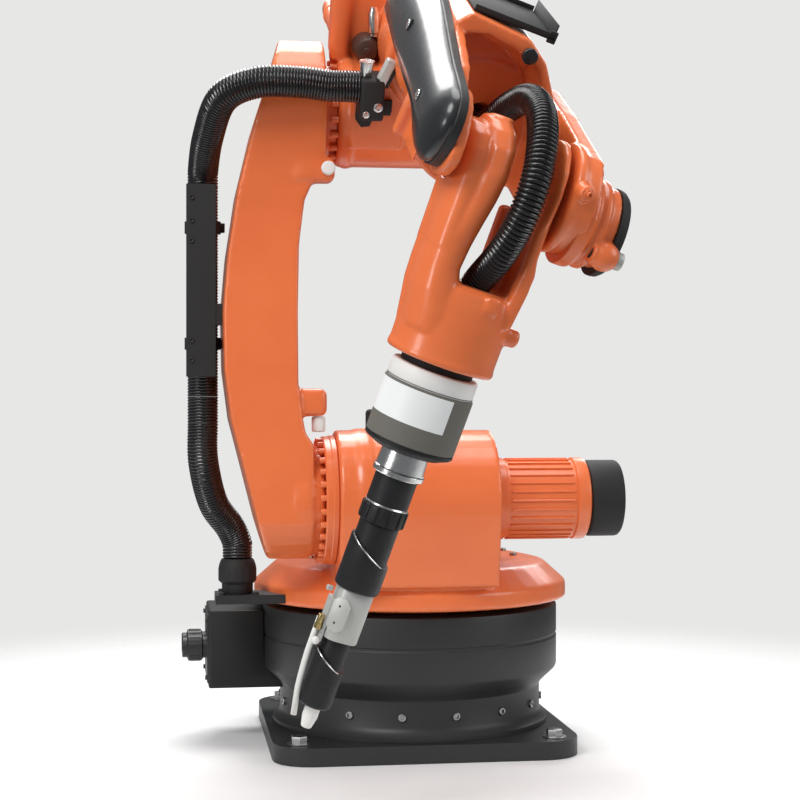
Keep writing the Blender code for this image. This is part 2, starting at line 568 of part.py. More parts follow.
def build_yoke(frame):
    """The yoke of the fourth joint: hub, arch, two legs, grey cover and the drive."""
    yoke = drum("yoke", HUB_RADIUS, 0, HUB_THICK, 0.004, FINE)
    put(yoke, frame, rotation=ALONG_FORWARD)
    left = -LEG_LEFT_OUTER
    right = LEG_RIGHT_OUTER
    outer = [(left, -0.050), (left, 0.128), (left + 0.014, 0.144), (0.004, 0.138), (0.034, 0.118),
             (0.062, 0.080), (0.082, 0.038), (right, -0.010), (right, -0.050), (0.060, -0.070),
             (-0.060, -0.070)]
    arch = put(outline("arch", outer, ARCH_DEPTH), frame, (0, -ARCH_DEPTH / 2, 0), FRONT_VIEW)
    hollow = [(-0.074, -0.090), (-0.076, 0.104), (-0.060, 0.118), (-0.010, 0.110), (0.018, 0.094),
              (0.044, 0.058), (0.062, 0.014), (LEG_RIGHT_INNER - 0.002, -0.090)]
    room = put(outline("arch_room", hollow, ARCH_DEPTH), frame, (0, -ARCH_DEPTH / 2 - HUB_THICK + 0.004, 0),
               FRONT_VIEW)
    combine(arch, room, "DIFFERENCE")
    combine(yoke, arch, "UNION")
    end = arc((-WRIST_REACH, 0.010), LEG_END_RADIUS, 72, 262, 18)
    edge = [(0, 0.136), (-0.105, 0.119), (-WRIST_REACH + 0.050, 0.100)] + end + [(-0.080, -0.060), (0, -0.055)]
    thick = LEG_LEFT_OUTER - LEG_LEFT_INNER
    leg = put(outline("leg_left", edge, thick), frame, (left + thick / 2, 0, 0), SIDE_VIEW)
    combine(yoke, leg, "UNION")
    tip = arc((-WRIST_REACH, 0), LEG_RADIUS, 105, 262, 16)
    low_edge = [(0, 0.070), (-0.110, 0.070)] + tip + [(-0.080, -0.060), (0, -0.055)]
    thick = LEG_RIGHT_OUTER - LEG_RIGHT_INNER
    leg = put(outline("leg_right", low_edge, thick), frame, (right - thick / 2, 0, 0), SIDE_VIEW)
    combine(yoke, leg, "UNION")
    for side, shoulder, low, high in ((1, BEARING_RADIUS, FORK_RIGHT, LEG_RIGHT_INNER + 0.004),
                                      (-1, SHOULDER_RADIUS, -FORK_LEFT, LEG_LEFT_INNER + 0.004)):
        profile = [(0, high), (shoulder, high), (shoulder, low + RUN), (BEARING_RADIUS, low + RUN),
                   (BEARING_RADIUS, low + SEAT), (0, low + SEAT)]
        if shoulder == BEARING_RADIUS:
            profile = profile[:2] + profile[4:]
        boss = put(turned(f"bearing_{side}", profile, FINE), frame, (0, -WRIST_REACH, 0), (0, 90 * side, 0))
        combine(yoke, boss, "UNION")
    bore = drum("hub_bore", HUB_BORE, HOSE_SEAT, HUB_THICK + 0.010, steps=ROUND)
    combine(yoke, put(bore, frame, rotation=ALONG_FORWARD), "DIFFERENCE")
    dress(yoke, ORANGE)

    edge = [(COVER_BACK, 0.020), (COVER_BACK, 0.150), (0, 0.136), (-0.105, 0.119),
            (-WRIST_REACH + 0.050, 0.100)] + end + [(-0.135, -0.056), (0.080, -0.020)]
    cover = put(outline("yoke_cover", edge, 2 * COVER_THICK), frame, (left - SEAT, 0, 0), SIDE_VIEW)
    seam = left - SEAT
    crown = [(seam, -0.100), (seam, 0.200), (seam - 0.020, 0.200), (seam - COVER_THICK, 0.118),
             (seam - COVER_THICK, 0.034), (seam - 0.018, -0.062), (seam - 0.018, -0.100)]
    section = put(outline("cover_section", crown, 1.0), frame, rotation=FRONT_VIEW)
    combine(cover, section, "INTERSECT")
    dress(soften(cover, 0.009, 3, 50), ANTHRACITE)

    cap = drum("arch_cap", 0.0105, SEAT, 0.008, 0.002, SMALL)
    dress(put(cap, frame, (0.008, -ARCH_DEPTH, 0.120), ALONG_FORWARD), ANTHRACITE)
    tray = box("cable_tray", (-0.076, -0.088, 0.144 + SEAT), (0.036, 0.060, 0.154))
    side = box("tray_side", (-0.076, -0.088, 0.144 + SEAT), (0.036, -0.082, 0.166))
    put(tray, frame)
    dress(combine(tray, put(side, frame), "UNION"), BLACK)

    x = right + SEAT
    drive = turned("drive_housing", [(0, DRIVE_LENGTH), (DRIVE_CAP_RADIUS, DRIVE_LENGTH),
                                     (DRIVE_CAP_RADIUS + 0.002, DRIVE_LENGTH - 0.004),
                                     (DRIVE_CAP_RADIUS + 0.002, 0.022), (DRIVE_RADIUS, 0.016),
                                     (DRIVE_RADIUS, 0), (0, 0)], FINE)
    put(drive, frame, (x, -WRIST_REACH, 0), ALONG_X)
    lobe_low = -DRIVE_CAP_RADIUS - 0.014
    lobe = drum("drive_lobe", 0.019, 0.006, DRIVE_LENGTH - 0.003, 0.003, SMALL)
    combine(drive, put(lobe, frame, (x, -WRIST_REACH - 0.012, lobe_low), ALONG_X), "UNION")
    dress(soften(drive, 0.002, 2, 50), ORANGE)
    cap = drum("drive_cap", DRIVE_CAP_RADIUS, 0, DRIVE_CAP, 0.004)
    dress(put(cap, frame, (x + DRIVE_LENGTH + SEAT, -WRIST_REACH, 0), ALONG_X), BLACK)
    plug = drum("drive_plug", 0.012, 0, 0.010, 0.002, SMALL)
    place = (x + DRIVE_LENGTH - 0.003 + SEAT, -WRIST_REACH - 0.012, lobe_low)
    dress(put(plug, frame, place, ALONG_X), LIGHT_GREY)

    bend = math.radians(WRIST_BEND)
    mouth = [(HOSE_MOUTH_RIGHT, -WRIST_REACH - s * math.cos(bend), -s * math.sin(bend))
             for s in (0.135, HOSE_DEPTH)]
    route = [(0, -HOSE_SEAT - SEAT, 0), (0, -0.040, 0), (0.004, -0.080, 0.018), (0.008, -0.118, 0.054),
             (0.012, -0.160, 0.080), (0.014, -0.212, 0.086), (0.014, -0.262, 0.073), (0.015, -0.306, 0.038),
             (0.015, -0.326, -0.012), (0.013, -0.320, -0.066)] + mouth
    put(tube("wrist_hose", smooth_route(route, 0.020), WRIST_HOSE_RADIUS), frame)


def build_wrist(frame):
    """The fork of the fifth joint, which ends in the ring of the sixth."""
    shoulder = SHOULDER_RADIUS + RUN
    window = [(FORK_LEFT, 0.080), (-0.008, 0.080), (-0.008, 0.010), (-0.022, -0.040), (-0.032, -0.090)]
    window += arc((0.004, -0.102), 0.036, 190, 360, 10)
    window += [(FORK_WINDOW_RIGHT - 0.004, -0.080), (FORK_WINDOW_RIGHT, -0.040), (FORK_WINDOW_RIGHT, 0.080),
               (FORK_RIGHT, 0.080), (FORK_RIGHT, -shoulder), (FORK_HALF, -0.110), (FORK_HALF, -0.170),
               (-FORK_HALF, -0.170), (-FORK_HALF, -0.096), (FORK_LEFT, -shoulder)]
    fork = put(outline("wrist_fork", window, 0.160), frame)
    side = arc((0, 0), FORK_HUB, 200, -20, 18) + [(0.048, -0.080), (0.052, -0.130), (0.060, -0.180)]
    side += [(-0.060, -0.180), (-0.052, -0.130), (-0.048, -0.080)]
    profile = put(outline("fork_profile", side, 0.200), frame, rotation=(0, -90, 0))
    combine(fork, profile, "INTERSECT")
    ring = turned("fork_ring", [(0, FORK_RING_END), (0.063, FORK_RING_END), (FORK_RING_RADIUS, 0.228),
                                (FORK_RING_RADIUS + 0.001, 0.175), (0.060, FORK_RING_TOP), (0, FORK_RING_TOP)], FINE)
    combine(fork, put(ring, frame, rotation=ALONG_FORWARD), "UNION")
    bore = drum("fork_bore", FORK_BORE, 0.060, HOSE_DEPTH + SEAT, steps=ROUND)
    combine(fork, put(bore, frame, (HOSE_MOUTH_RIGHT, 0, 0), ALONG_FORWARD), "DIFFERENCE")
    dress(fork, ORANGE)


def stack(name, frame, low, high, side, look, steps=ROUND):
    """A turned tool piece; side is (radius, share of its height from the top)."""
    tall = high - low - SEAT
    profile = [(0, high)] + [(radius, high - share * tall) for radius, share in side] + [(0, low + SEAT)]
    return dress(put(turned(name, profile, steps), frame, rotation=ALONG_FORWARD), look)


def build_tool(frame):
    """The welding torch with its collision box, from the flange to the nozzle."""
    stack("tool_flange", frame, FORK_RING_END, TOOL_FLANGE_END, [(TOOL_FLANGE_RADIUS, 0), (TOOL_FLANGE_RADIUS, 1)],
          BLACK)
    r = MOUNT_RING_RADIUS
    stack("mount_ring", frame, TOOL_FLANGE_END, MOUNT_RING_END, [(r, 0), (r, 0.9), (r - 0.002, 1)], PALE, FINE)
    r = DRUM_RADIUS
    stack("collision_box", frame, MOUNT_RING_END, DRUM_END, [(r, 0), (r, 0.97), (r - 0.002, 1)], WARM_GREY, FINE)
    stack("box_disc", frame, DRUM_END, DISC_END, [(0.043, 0), (r, 0.55), (r, 1)], BLACK, FINE)
    r = SOCKET_RADIUS
    stack("torch_socket", frame, DISC_END, SOCKET_END,
          [(r + 0.001, 0), (r + 0.002, 0.05), (r + 0.002, 0.25), (r, 0.3), (r, 1)], STEEL)
    r = NECK_TUBE_RADIUS
    stack("torch_neck", frame, SOCKET_END, NECK_END, [(r, 0), (r, 1)], BLACK)
    r = KNURL_RADIUS
    stack("torch_nut", frame, NECK_END, KNURL_END, [(r - 0.002, 0), (r, 0.1), (r, 0.9), (r - 0.002, 1)], BLACK)
    r = BARREL_RADIUS
    stack("torch_barrel", frame, KNURL_END, BARREL_END, [(r, 0), (r, 1)], BLACK)
    r = SLEEVE_RADIUS
    stack("torch_sleeve", frame, BARREL_END, SLEEVE_END, [(r, 0), (r, 0.96), (r - 0.002, 1)], BLACK)
    half = CLAMP_WIDTH / 2
    clamp = box("torch_clamp", (-half, -CLAMP_END, -half), (half, -SLEEVE_END - SEAT, half))
    dress(soften(put(clamp, frame), 0.006, 2), LIGHT_GREY)
    r = TORCH_RADIUS
    stack("torch_body", frame, CLAMP_END, BODY_END, [(r - 0.006, 0), (r, 0.2), (r, 1)], BLACK)
    stack("torch_nozzle", frame, BODY_END, NOZZLE_END, [(0.006, 0), (0.010, 0.5), (0.010, 1)], PALE, SMALL)
    side = half + SEAT
    plate = box("guide_bracket", (-side - 0.004, -0.612, -0.012), (-side, -0.556, 0.012))
    dress(put(plate, frame), DARK_IRON)
    x = -side - 0.004 - SEAT - GUIDE_RADIUS
    guide = [(x, -0.585, 0), (x, -0.630, 0), (x + 0.004, -0.680, 0), (x + 0.011, -0.716, 0)]
    put(tube("wire_guide", smooth_route(guide, 0.015), GUIDE_RADIUS), frame)


def build_all():
    """Build every body in its own frame, which stands on the body's joint."""
    base = empty("frame_base")
    column = empty("frame_a1", base)
    link = empty("frame_a2", column, (0, -A2_FORWARD, A2_HEIGHT))
    forearm = empty("frame_a3", link, (0, 0, LINK_LENGTH), (ARM_SLOPE, 0, 0))
    yoke = empty("frame_a4", forearm, (0, -HUB_REACH, A4_RISE), (0, WRIST_ROLL, 0))
    wrist = empty("frame_a5", yoke, (0, -WRIST_REACH, 0), (WRIST_BEND, 0, 0))
    tool = empty("frame_a6", wrist)
    build_base(base)
    build_column(column)
    build_link(link)
    build_dress_hoses(column, link)
    build_forearm(forearm)
    build_yoke(yoke)
    build_wrist(wrist)
    build_tool(tool)


clear_scene()
PARTS = new_collection("welding_robot")
CUTTERS = new_collection("cutters")
build_all()
bpy.context.view_layer.update()
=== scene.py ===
"""Looks of a six-axis welding robot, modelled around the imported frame.

Every piece is drawn in the frame of the body that carries it.  Pose says where those frames stand
in the working pose, and each piece's place ends up in its mesh.
"""
from __future__ import annotations

import json
import logging
import math
from dataclasses import dataclass, field
from enum import Enum
from typing import Callable, Sequence

import bmesh
import bpy
from mathutils import Matrix, Vector

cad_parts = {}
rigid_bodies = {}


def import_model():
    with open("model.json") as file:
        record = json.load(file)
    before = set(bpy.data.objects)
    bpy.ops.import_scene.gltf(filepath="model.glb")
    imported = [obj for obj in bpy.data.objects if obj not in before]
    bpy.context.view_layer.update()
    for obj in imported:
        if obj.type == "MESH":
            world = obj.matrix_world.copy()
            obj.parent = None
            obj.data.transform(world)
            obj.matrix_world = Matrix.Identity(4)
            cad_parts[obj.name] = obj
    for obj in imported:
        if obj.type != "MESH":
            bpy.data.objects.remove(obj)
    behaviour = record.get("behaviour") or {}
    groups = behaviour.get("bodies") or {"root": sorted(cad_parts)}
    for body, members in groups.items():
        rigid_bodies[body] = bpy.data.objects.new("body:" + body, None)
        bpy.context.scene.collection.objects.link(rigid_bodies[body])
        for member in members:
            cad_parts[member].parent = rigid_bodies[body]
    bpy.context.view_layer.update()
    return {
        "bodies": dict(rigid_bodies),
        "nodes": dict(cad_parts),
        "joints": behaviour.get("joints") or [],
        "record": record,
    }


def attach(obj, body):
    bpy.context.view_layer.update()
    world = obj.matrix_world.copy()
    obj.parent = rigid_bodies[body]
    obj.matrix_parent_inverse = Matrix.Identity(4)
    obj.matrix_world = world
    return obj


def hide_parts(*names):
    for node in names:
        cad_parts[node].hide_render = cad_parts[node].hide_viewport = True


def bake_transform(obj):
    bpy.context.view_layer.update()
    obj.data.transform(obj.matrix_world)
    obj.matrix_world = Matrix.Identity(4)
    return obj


LOG = logging.getLogger("welding_robot")
Point = Sequence[float]
Profile = Sequence[tuple[float, float]]
Station = tuple[float, float, float, float]
Colour = tuple[float, float, float]
Verts = list[bmesh.types.BMVert]
Edges = Sequence[bmesh.types.BMEdge]

# Vertices nearer than this are one, and flat faces are joined within this angle.
MERGE = 1e-6
FLAT_ANGLE = 0.01
# How far a piece stands off the solid that carries it.
GAP = 0.0003
# Steps of a drum's rounded rim.
RIM_STEPS = 3
# Parts of a socket screw, as shares of its radius or height.
RIM_SHARE, SOCKET_INSET, SOCKET_REACH, SOCKET_DEPTH = 0.14, 0.38, 0.52, 0.55


class Turn(Enum):
    """Ways to lay a shape that is drawn along +Z or in the XY plane."""

    UP = Matrix.Identity(4)
    DOWN = Matrix.Rotation(math.pi, 4, "X")
    RIGHT = Matrix.Rotation(math.pi / 2, 4, "Y")
    LEFT = Matrix.Rotation(-math.pi / 2, 4, "Y")
    FORWARD = Matrix.Rotation(math.pi / 2, 4, "X")
    BACK = Matrix.Rotation(-math.pi / 2, 4, "X")
    SIDE = Matrix.Rotation(math.pi / 2, 4, "Z") @ Matrix.Rotation(math.pi / 2, 4, "X")


def at(place: Point, turn: Turn = Turn.UP, spin: float = 0.0) -> Matrix:
    """Place a shape: first spun about its own axis, then turned, then moved.

    Args:
        place: Where the shape's zero goes.
        turn: How the shape is laid.
        spin: Degrees about the shape's own Z before it is laid.

    Returns:
        The matrix that does all three.
    """
    return Matrix.Translation(Vector(place)) @ turn.value @ rotated(spin)


def rotated(degrees: float, axis: str = "Z") -> Matrix:
    """Turn about an axis by degrees."""
    return Matrix.Rotation(math.radians(degrees), 4, axis)


def facing(place: Point, way: Point) -> Matrix:
    """Place a shape so that its Z looks a given way."""
    return Matrix.Translation(Vector(place)) @ Vector(way).to_track_quat("Z", "Y").to_matrix().to_4x4()


@dataclass(frozen=True)
class Pose:
    """Where each body's own frame stands in the working pose."""

    forward: float = 0.180
    shoulder: float = 0.400
    link: float = 0.600
    rise: float = 0.120
    hub: float = 0.380
    wrist: float = 0.250
    slope: float = 27.0
    roll: float = 19.0
    bend: float = 75.0

    def frames(self) -> dict[str, Matrix]:
        """Work out the bodies' frames from the root to the torch."""
        link = Matrix.Translation((0, -self.forward, self.shoulder))
        forearm = link @ Matrix.Translation((0, 0, self.link)) @ rotated(self.slope, "X")
        yoke = forearm @ Matrix.Translation((0, -self.hub, self.rise)) @ rotated(self.roll, "Y")
        wrist = yoke @ Matrix.Translation((0, -self.wrist, 0)) @ rotated(self.bend, "X")
        still = Matrix.Identity(4)
        return {"foot": still, "turntable": still, "upper_arm": link, "forearm": forearm,
                "wrist_yoke": yoke, "wrist": wrist, "torch": wrist}


class Group:
    """A shader node group that gives colours, masks or values, built once and placed by name."""

    made: dict[str, bpy.types.NodeTree] = {}

    @staticmethod
    def start(name: str, inputs: dict[str, float], outputs: Sequence[str]) -> bpy.types.NodeTree:
        """Open a new group with named float inputs and outputs.

        Args:
            name: The group's name.
            inputs: Each input's name and its usual value.
            outputs: The outputs' names.

        Returns:
            The empty tree, with its two end nodes named in and out.
        """
        tree = bpy.data.node_groups.new(name, "ShaderNodeTree")
        for key, value in inputs.items():
            socket = tree.interface.new_socket(name=key, in_out="INPUT", socket_type="NodeSocketFloat")
            socket.default_value = value
        for key in outputs:
            tree.interface.new_socket(name=key, in_out="OUTPUT", socket_type="NodeSocketFloat")
        tree.nodes.new("NodeGroupInput").name = "in"
        tree.nodes.new("NodeGroupOutput").name = "out"
        Group.made[name] = tree
        return tree

    @staticmethod
    def noise(tree: bpy.types.NodeTree, detail: float, roughness: float) -> bpy.types.Node:
        """Add a noise on object coordinates, in metres."""
        where = tree.nodes.new("ShaderNodeTexCoord")
        made = tree.nodes.new("ShaderNodeTexNoise")
        made.inputs["Detail"].default_value = detail
        made.inputs["Roughness"].default_value = roughness
        tree.links.new(where.outputs["Object"], made.inputs["Vector"])
        return made

    @staticmethod
    def ramp(tree: bpy.types.NodeTree, source: bpy.types.NodeSocket, low: float, high: float,
             bottom: float = 0.0, top: float = 1.0) -> bpy.types.NodeSocket:
        """Map a value from one range to another, clamped and smooth."""
        node = tree.nodes.new("ShaderNodeMapRange")
        node.interpolation_type = "SMOOTHSTEP"
        tree.links.new(source, node.inputs["Value"])
        for key, value in (("From Min", low), ("From Max", high), ("To Min", bottom), ("To Max", top)):
            node.inputs[key].default_value = value
        return node.outputs["Result"]

    @staticmethod
    def math(tree: bpy.types.NodeTree, kind: str, first: bpy.types.NodeSocket,
             second: bpy.types.NodeSocket | float) -> bpy.types.NodeSocket:
        """Join two values with a math node."""
        node = tree.nodes.new("ShaderNodeMath")
        node.operation = kind
        tree.links.new(first, node.inputs[0])
        if isinstance(second, float):
            node.inputs[1].default_value = second
        else:
            tree.links.new(second, node.inputs[1])
        return node.outputs[0]

    @classmethod
    def build_all(cls) -> None:
        """Build the groups that the finishes share."""
        tree = cls.start("mottle", {"Scale": 12.0}, ["Broad", "Fine"])
        scale = tree.nodes["in"].outputs["Scale"]
        broad = cls.noise(tree, 3.0, 0.55)
        tree.links.new(scale, broad.inputs["Scale"])
        fine = cls.noise(tree, 6.0, 0.65)
        tree.links.new(cls.math(tree, "MULTIPLY", scale, 9.0), fine.inputs["Scale"])
        tree.links.new(cls.ramp(tree, broad.outputs["Fac"], 0.30, 0.70), tree.nodes["out"].inputs["Broad"])
        tree.links.new(cls.ramp(tree, fine.outputs["Fac"], 0.30, 0.72), tree.nodes["out"].inputs["Fine"])

        tree = cls.start("edge_wear", {"Radius": 0.002, "Scale": 60.0}, ["Mask"])
        bevel = tree.nodes.new("ShaderNodeBevel")
        bevel.samples = 4
        tree.links.new(tree.nodes["in"].outputs["Radius"], bevel.inputs["Radius"])
        surface = tree.nodes.new("ShaderNodeNewGeometry")
        dot = tree.nodes.new("ShaderNodeVectorMath")
        dot.operation = "DOT_PRODUCT"
        tree.links.new(bevel.outputs["Normal"], dot.inputs[0])
        tree.links.new(surface.outputs["Normal"], dot.inputs[1])
        edge = cls.ramp(tree, dot.outputs["Value"], 0.96, 0.80)
        speck = cls.noise(tree, 5.0, 0.7)
        tree.links.new(tree.nodes["in"].outputs["Scale"], speck.inputs["Scale"])
        worn = cls.math(tree, "MULTIPLY", edge, cls.ramp(tree, speck.outputs["Fac"], 0.50, 0.66))
        tree.links.new(worn, tree.nodes["out"].inputs["Mask"])

        tree = cls.start("grain", {"Scale": 400.0}, ["Height"])
        rough = cls.noise(tree, 4.0, 0.6)
        tree.links.new(tree.nodes["in"].outputs["Scale"], rough.inputs["Scale"])
        tree.links.new(rough.outputs["Fac"], tree.nodes["out"].inputs["Height"])

        tree = cls.start("dust", {"Scale": 25.0}, ["Mask"])
        surface = tree.nodes.new("ShaderNodeNewGeometry")
        split = tree.nodes.new("ShaderNodeSeparateXYZ")
        tree.links.new(surface.outputs["Normal"], split.inputs[0])
        cloud = cls.noise(tree, 5.0, 0.7)
        tree.links.new(tree.nodes["in"].outputs["Scale"], cloud.inputs["Scale"])
        lying = cls.math(tree, "MULTIPLY", cls.ramp(tree, split.outputs["Z"], 0.35, 1.0),
                         cls.ramp(tree, cloud.outputs["Fac"], 0.42, 0.66))
        tree.links.new(lying, tree.nodes["out"].inputs["Mask"])


@dataclass(frozen=True)
class Finish:
    """A painted, moulded, machined or rubber surface.

    Colours are scene-linear.  The second colour lies over the first in broad clouds, the worn
    colour shows along sharp edges and the dust colour lies on what faces up.
    """

    name: str
    slot: str
    colour: Colour
    second: Colour
    roughness: float = 0.4
    spread: float = 0.08
    metallic: float = 0.0
    coat: float = 0.0
    coat_roughness: float = 0.15
    specular: float = 0.5
    cloud_scale: float = 9.0
    cloud_share: float = 0.5
    grain_scale: float = 500.0
    grain_height: float = 0.0002
    grain_strength: float = 0.25
    worn: Colour = (0.25, 0.24, 0.23)
    wear: float = 0.3
    wear_scale: float = 90.0
    dust: Colour = (0.30, 0.27, 0.23)
    dust_share: float = 0.10
    edge: float = 0.0015
    brushed: bool = False
    brush: Colour = (1.0, 1.0, 0.06)

    def place(self, tree: bpy.types.NodeTree, group: str, **values: float) -> bpy.types.Node:
        """Place a shared group in a material with its own values."""
        node = tree.nodes.new("ShaderNodeGroup")
        node.node_tree = Group.made[group]
        for key, value in values.items():
            node.inputs[key].default_value = value
        return node

    def mix(self, tree: bpy.types.NodeTree, share: bpy.types.NodeSocket, strength: float,
            first: bpy.types.NodeSocket | Sequence[float], second: Sequence[float]) -> bpy.types.NodeSocket:
        """Mix a colour over another where a mask lies."""
        node = tree.nodes.new("ShaderNodeMix")
        node.data_type = "RGBA"
        tree.links.new(Group.math(tree, "MULTIPLY", share, strength), node.inputs["Factor"])
        if isinstance(first, bpy.types.NodeSocket):
            tree.links.new(first, node.inputs["A"])
        else:
            node.inputs["A"].default_value = (*first, 1)
        node.inputs["B"].default_value = (*second, 1)
        return node.outputs["Result"]

    def material(self) -> bpy.types.Material:
        """Build the material, or give the one that is there already.

        Returns:
            The material of this finish's name.
        """
        found = bpy.data.materials.get(self.name)
        if found:
            return found
        made = bpy.data.materials.new(self.name)
        made.use_nodes = True
        tree = made.node_tree
        shader = tree.nodes["Principled BSDF"]
        mottle = self.place(tree, "mottle", Scale=self.cloud_scale)
        wear = self.place(tree, "edge_wear", Radius=self.edge, Scale=self.wear_scale)
        dust = self.place(tree, "dust", Scale=self.cloud_scale * 2)
        colour = self.mix(tree, mottle.outputs["Broad"], self.cloud_share, self.colour, self.second)
        colour = self.mix(tree, wear.outputs["Mask"], self.wear, colour, self.worn)
        colour = self.mix(tree, dust.outputs["Mask"], self.dust_share, colour, self.dust)
        tree.links.new(colour, shader.inputs["Base Color"])
        smear = Group.ramp(tree, mottle.outputs["Fine"], 0.0, 1.0, self.roughness - self.spread / 2,
                           self.roughness + self.spread / 2)
        tree.links.new(smear, shader.inputs["Roughness"])
        shader.inputs["Metallic"].default_value = self.metallic
        shader.inputs["Coat Weight"].default_value = self.coat
        shader.inputs["Coat Roughness"].default_value = self.coat_roughness
        shader.inputs["Specular IOR Level"].default_value = self.specular
        bump = tree.nodes.new("ShaderNodeBump")
        bump.inputs["Strength"].default_value = self.grain_strength
        bump.inputs["Distance"].default_value = self.grain_height
        if self.brushed:
            where = tree.nodes.new("ShaderNodeTexCoord")
            stretch = tree.nodes.new("ShaderNodeMapping")
            stretch.inputs["Scale"].default_value = self.brush
            noise = tree.nodes.new("ShaderNodeTexNoise")
            noise.inputs["Scale"].default_value = self.grain_scale
            tree.links.new(where.outputs["Object"], stretch.inputs["Vector"])
            tree.links.new(stretch.outputs["Vector"], noise.inputs["Vector"])
            tree.links.new(noise.outputs["Fac"], bump.inputs["Height"])
        else:
            grain = self.place(tree, "grain", Scale=self.grain_scale)
            tree.links.new(grain.outputs["Height"], bump.inputs["Height"])
        tree.links.new(bump.outputs["Normal"], shader.inputs["Normal"])
        return made


ORANGE = Finish("orange_paint", "orange", (0.770, 0.170, 0.048), (0.700, 0.135, 0.036), roughness=0.33,
                spread=0.10, coat=0.25, coat_roughness=0.12, worn=(0.42, 0.10, 0.035), wear=0.35,
                grain_scale=260.0, grain_height=0.0006, grain_strength=0.14, dust_share=0.06)
COVER = Finish("grey_cover", "anthracite", (0.018, 0.019, 0.020), (0.014, 0.015, 0.016), roughness=0.36,
               spread=0.08, coat=0.45, coat_roughness=0.12, grain_scale=900.0, grain_height=0.0003,
               grain_strength=0.08, wear=0.10, worn=(0.12, 0.12, 0.12), dust_share=0.05, specular=0.35)
SEAM = Finish("dark_seam", "black_plastic", (0.016, 0.016, 0.016), (0.012, 0.012, 0.012), roughness=0.5,
              wear=0.1, worn=(0.05, 0.05, 0.05))
IRON = Finish("black_paint", "black_paint", (0.022, 0.022, 0.024), (0.030, 0.029, 0.028), roughness=0.42,
              spread=0.14, worn=(0.16, 0.15, 0.14), wear=0.4, dust_share=0.16)
PLASTIC = Finish("black_plastic", "black_plastic", (0.014, 0.014, 0.015), (0.020, 0.020, 0.020),
                 roughness=0.48, spread=0.12, worn=(0.07, 0.07, 0.07), wear=0.25, dust_share=0.10)
TORCH = Finish("torch_black", "black_plastic", (0.011, 0.011, 0.012), (0.017, 0.017, 0.018), roughness=0.50,
               spread=0.14, worn=(0.10, 0.10, 0.10), wear=0.35, dust_share=0.08, specular=0.35)
HOSE = Finish("hose_black", "hose", (0.009, 0.009, 0.010), (0.013, 0.013, 0.013), roughness=0.24,
              spread=0.12, grain_strength=0.05, wear=0.0, dust_share=0.10, specular=0.6)
STEEL = Finish("machined_steel", "steel", (0.82, 0.82, 0.81), (0.72, 0.72, 0.72), roughness=0.24, spread=0.08,
               metallic=1.0, worn=(0.9, 0.9, 0.9), wear=0.3, dust_share=0.0, brushed=True,
               grain_scale=420.0, grain_height=0.0002, grain_strength=0.12)
BOLT = Finish("bolt_steel", "steel", (0.40, 0.40, 0.40), (0.30, 0.29, 0.28), roughness=0.33, metallic=1.0,
              worn=(0.7, 0.7, 0.7), wear=0.4, dust_share=0.0)
PALE = Finish("off_white", "pale", (0.76, 0.75, 0.72), (0.70, 0.69, 0.65), roughness=0.45,
              worn=(0.5, 0.49, 0.46), wear=0.2, dust_share=0.05)
WARM = Finish("warm_grey", "warm_grey", (0.105, 0.095, 0.086), (0.085, 0.078, 0.072), roughness=0.52,
              spread=0.12, worn=(0.25, 0.24, 0.22), wear=0.35, dust_share=0.12)
LABEL = Finish("blank_label", "pale", (0.80, 0.80, 0.79), (0.76, 0.76, 0.75), roughness=0.42, wear=0.1,
               worn=(0.6, 0.6, 0.6), dust_share=0.02)
CLAMP = Finish("clamp_grey", "light_grey", (0.50, 0.50, 0.47), (0.42, 0.42, 0.40), roughness=0.42,
               metallic=0.25, worn=(0.7, 0.7, 0.68), wear=0.3, dust_share=0.06)
CERAMIC = Finish("white_ceramic", "ceramic", (0.80, 0.79, 0.76), (0.72, 0.70, 0.66), roughness=0.3, wear=0.0)
BRASS = Finish("brass", "steel", (0.55, 0.42, 0.18), (0.40, 0.30, 0.13), roughness=0.32, metallic=1.0)
# Painted shade: a dark brown that stands for orange paint in shadow, on the second arm motor and the motor's
# front cap.
SHADE_BROWN = Finish("brown_motor", "anthracite", (0.060, 0.030, 0.022), (0.045, 0.024, 0.018), roughness=0.4,
                    worn=(0.15, 0.1, 0.08))


def rounded(part: bmesh.types.BMesh, edges: Edges, offset: float, segments: int) -> None:
    """Round edges of a part."""
    bmesh.ops.bevel(part, geom=edges, offset=offset, segments=segments, profile=0.5, affect="EDGES",
                    material=-1)


def grown(part: bmesh.types.BMesh, edges: Edges) -> tuple[Verts, Edges]:
    """Extrude a loop of edges.

    Args:
        part: The mesh that the loop is in.
        edges: The loop.

    Returns:
        The new loop's vertices and edges, still where the old ones are.
    """
    made = bmesh.ops.extrude_edge_only(part, edges=edges)["geom"]
    verts = [item for item in made if isinstance(item, bmesh.types.BMVert)]
    loop = [item for item in made if isinstance(item, bmesh.types.BMEdge)
            and item.verts[0] in verts and item.verts[1] in verts]
    return verts, loop


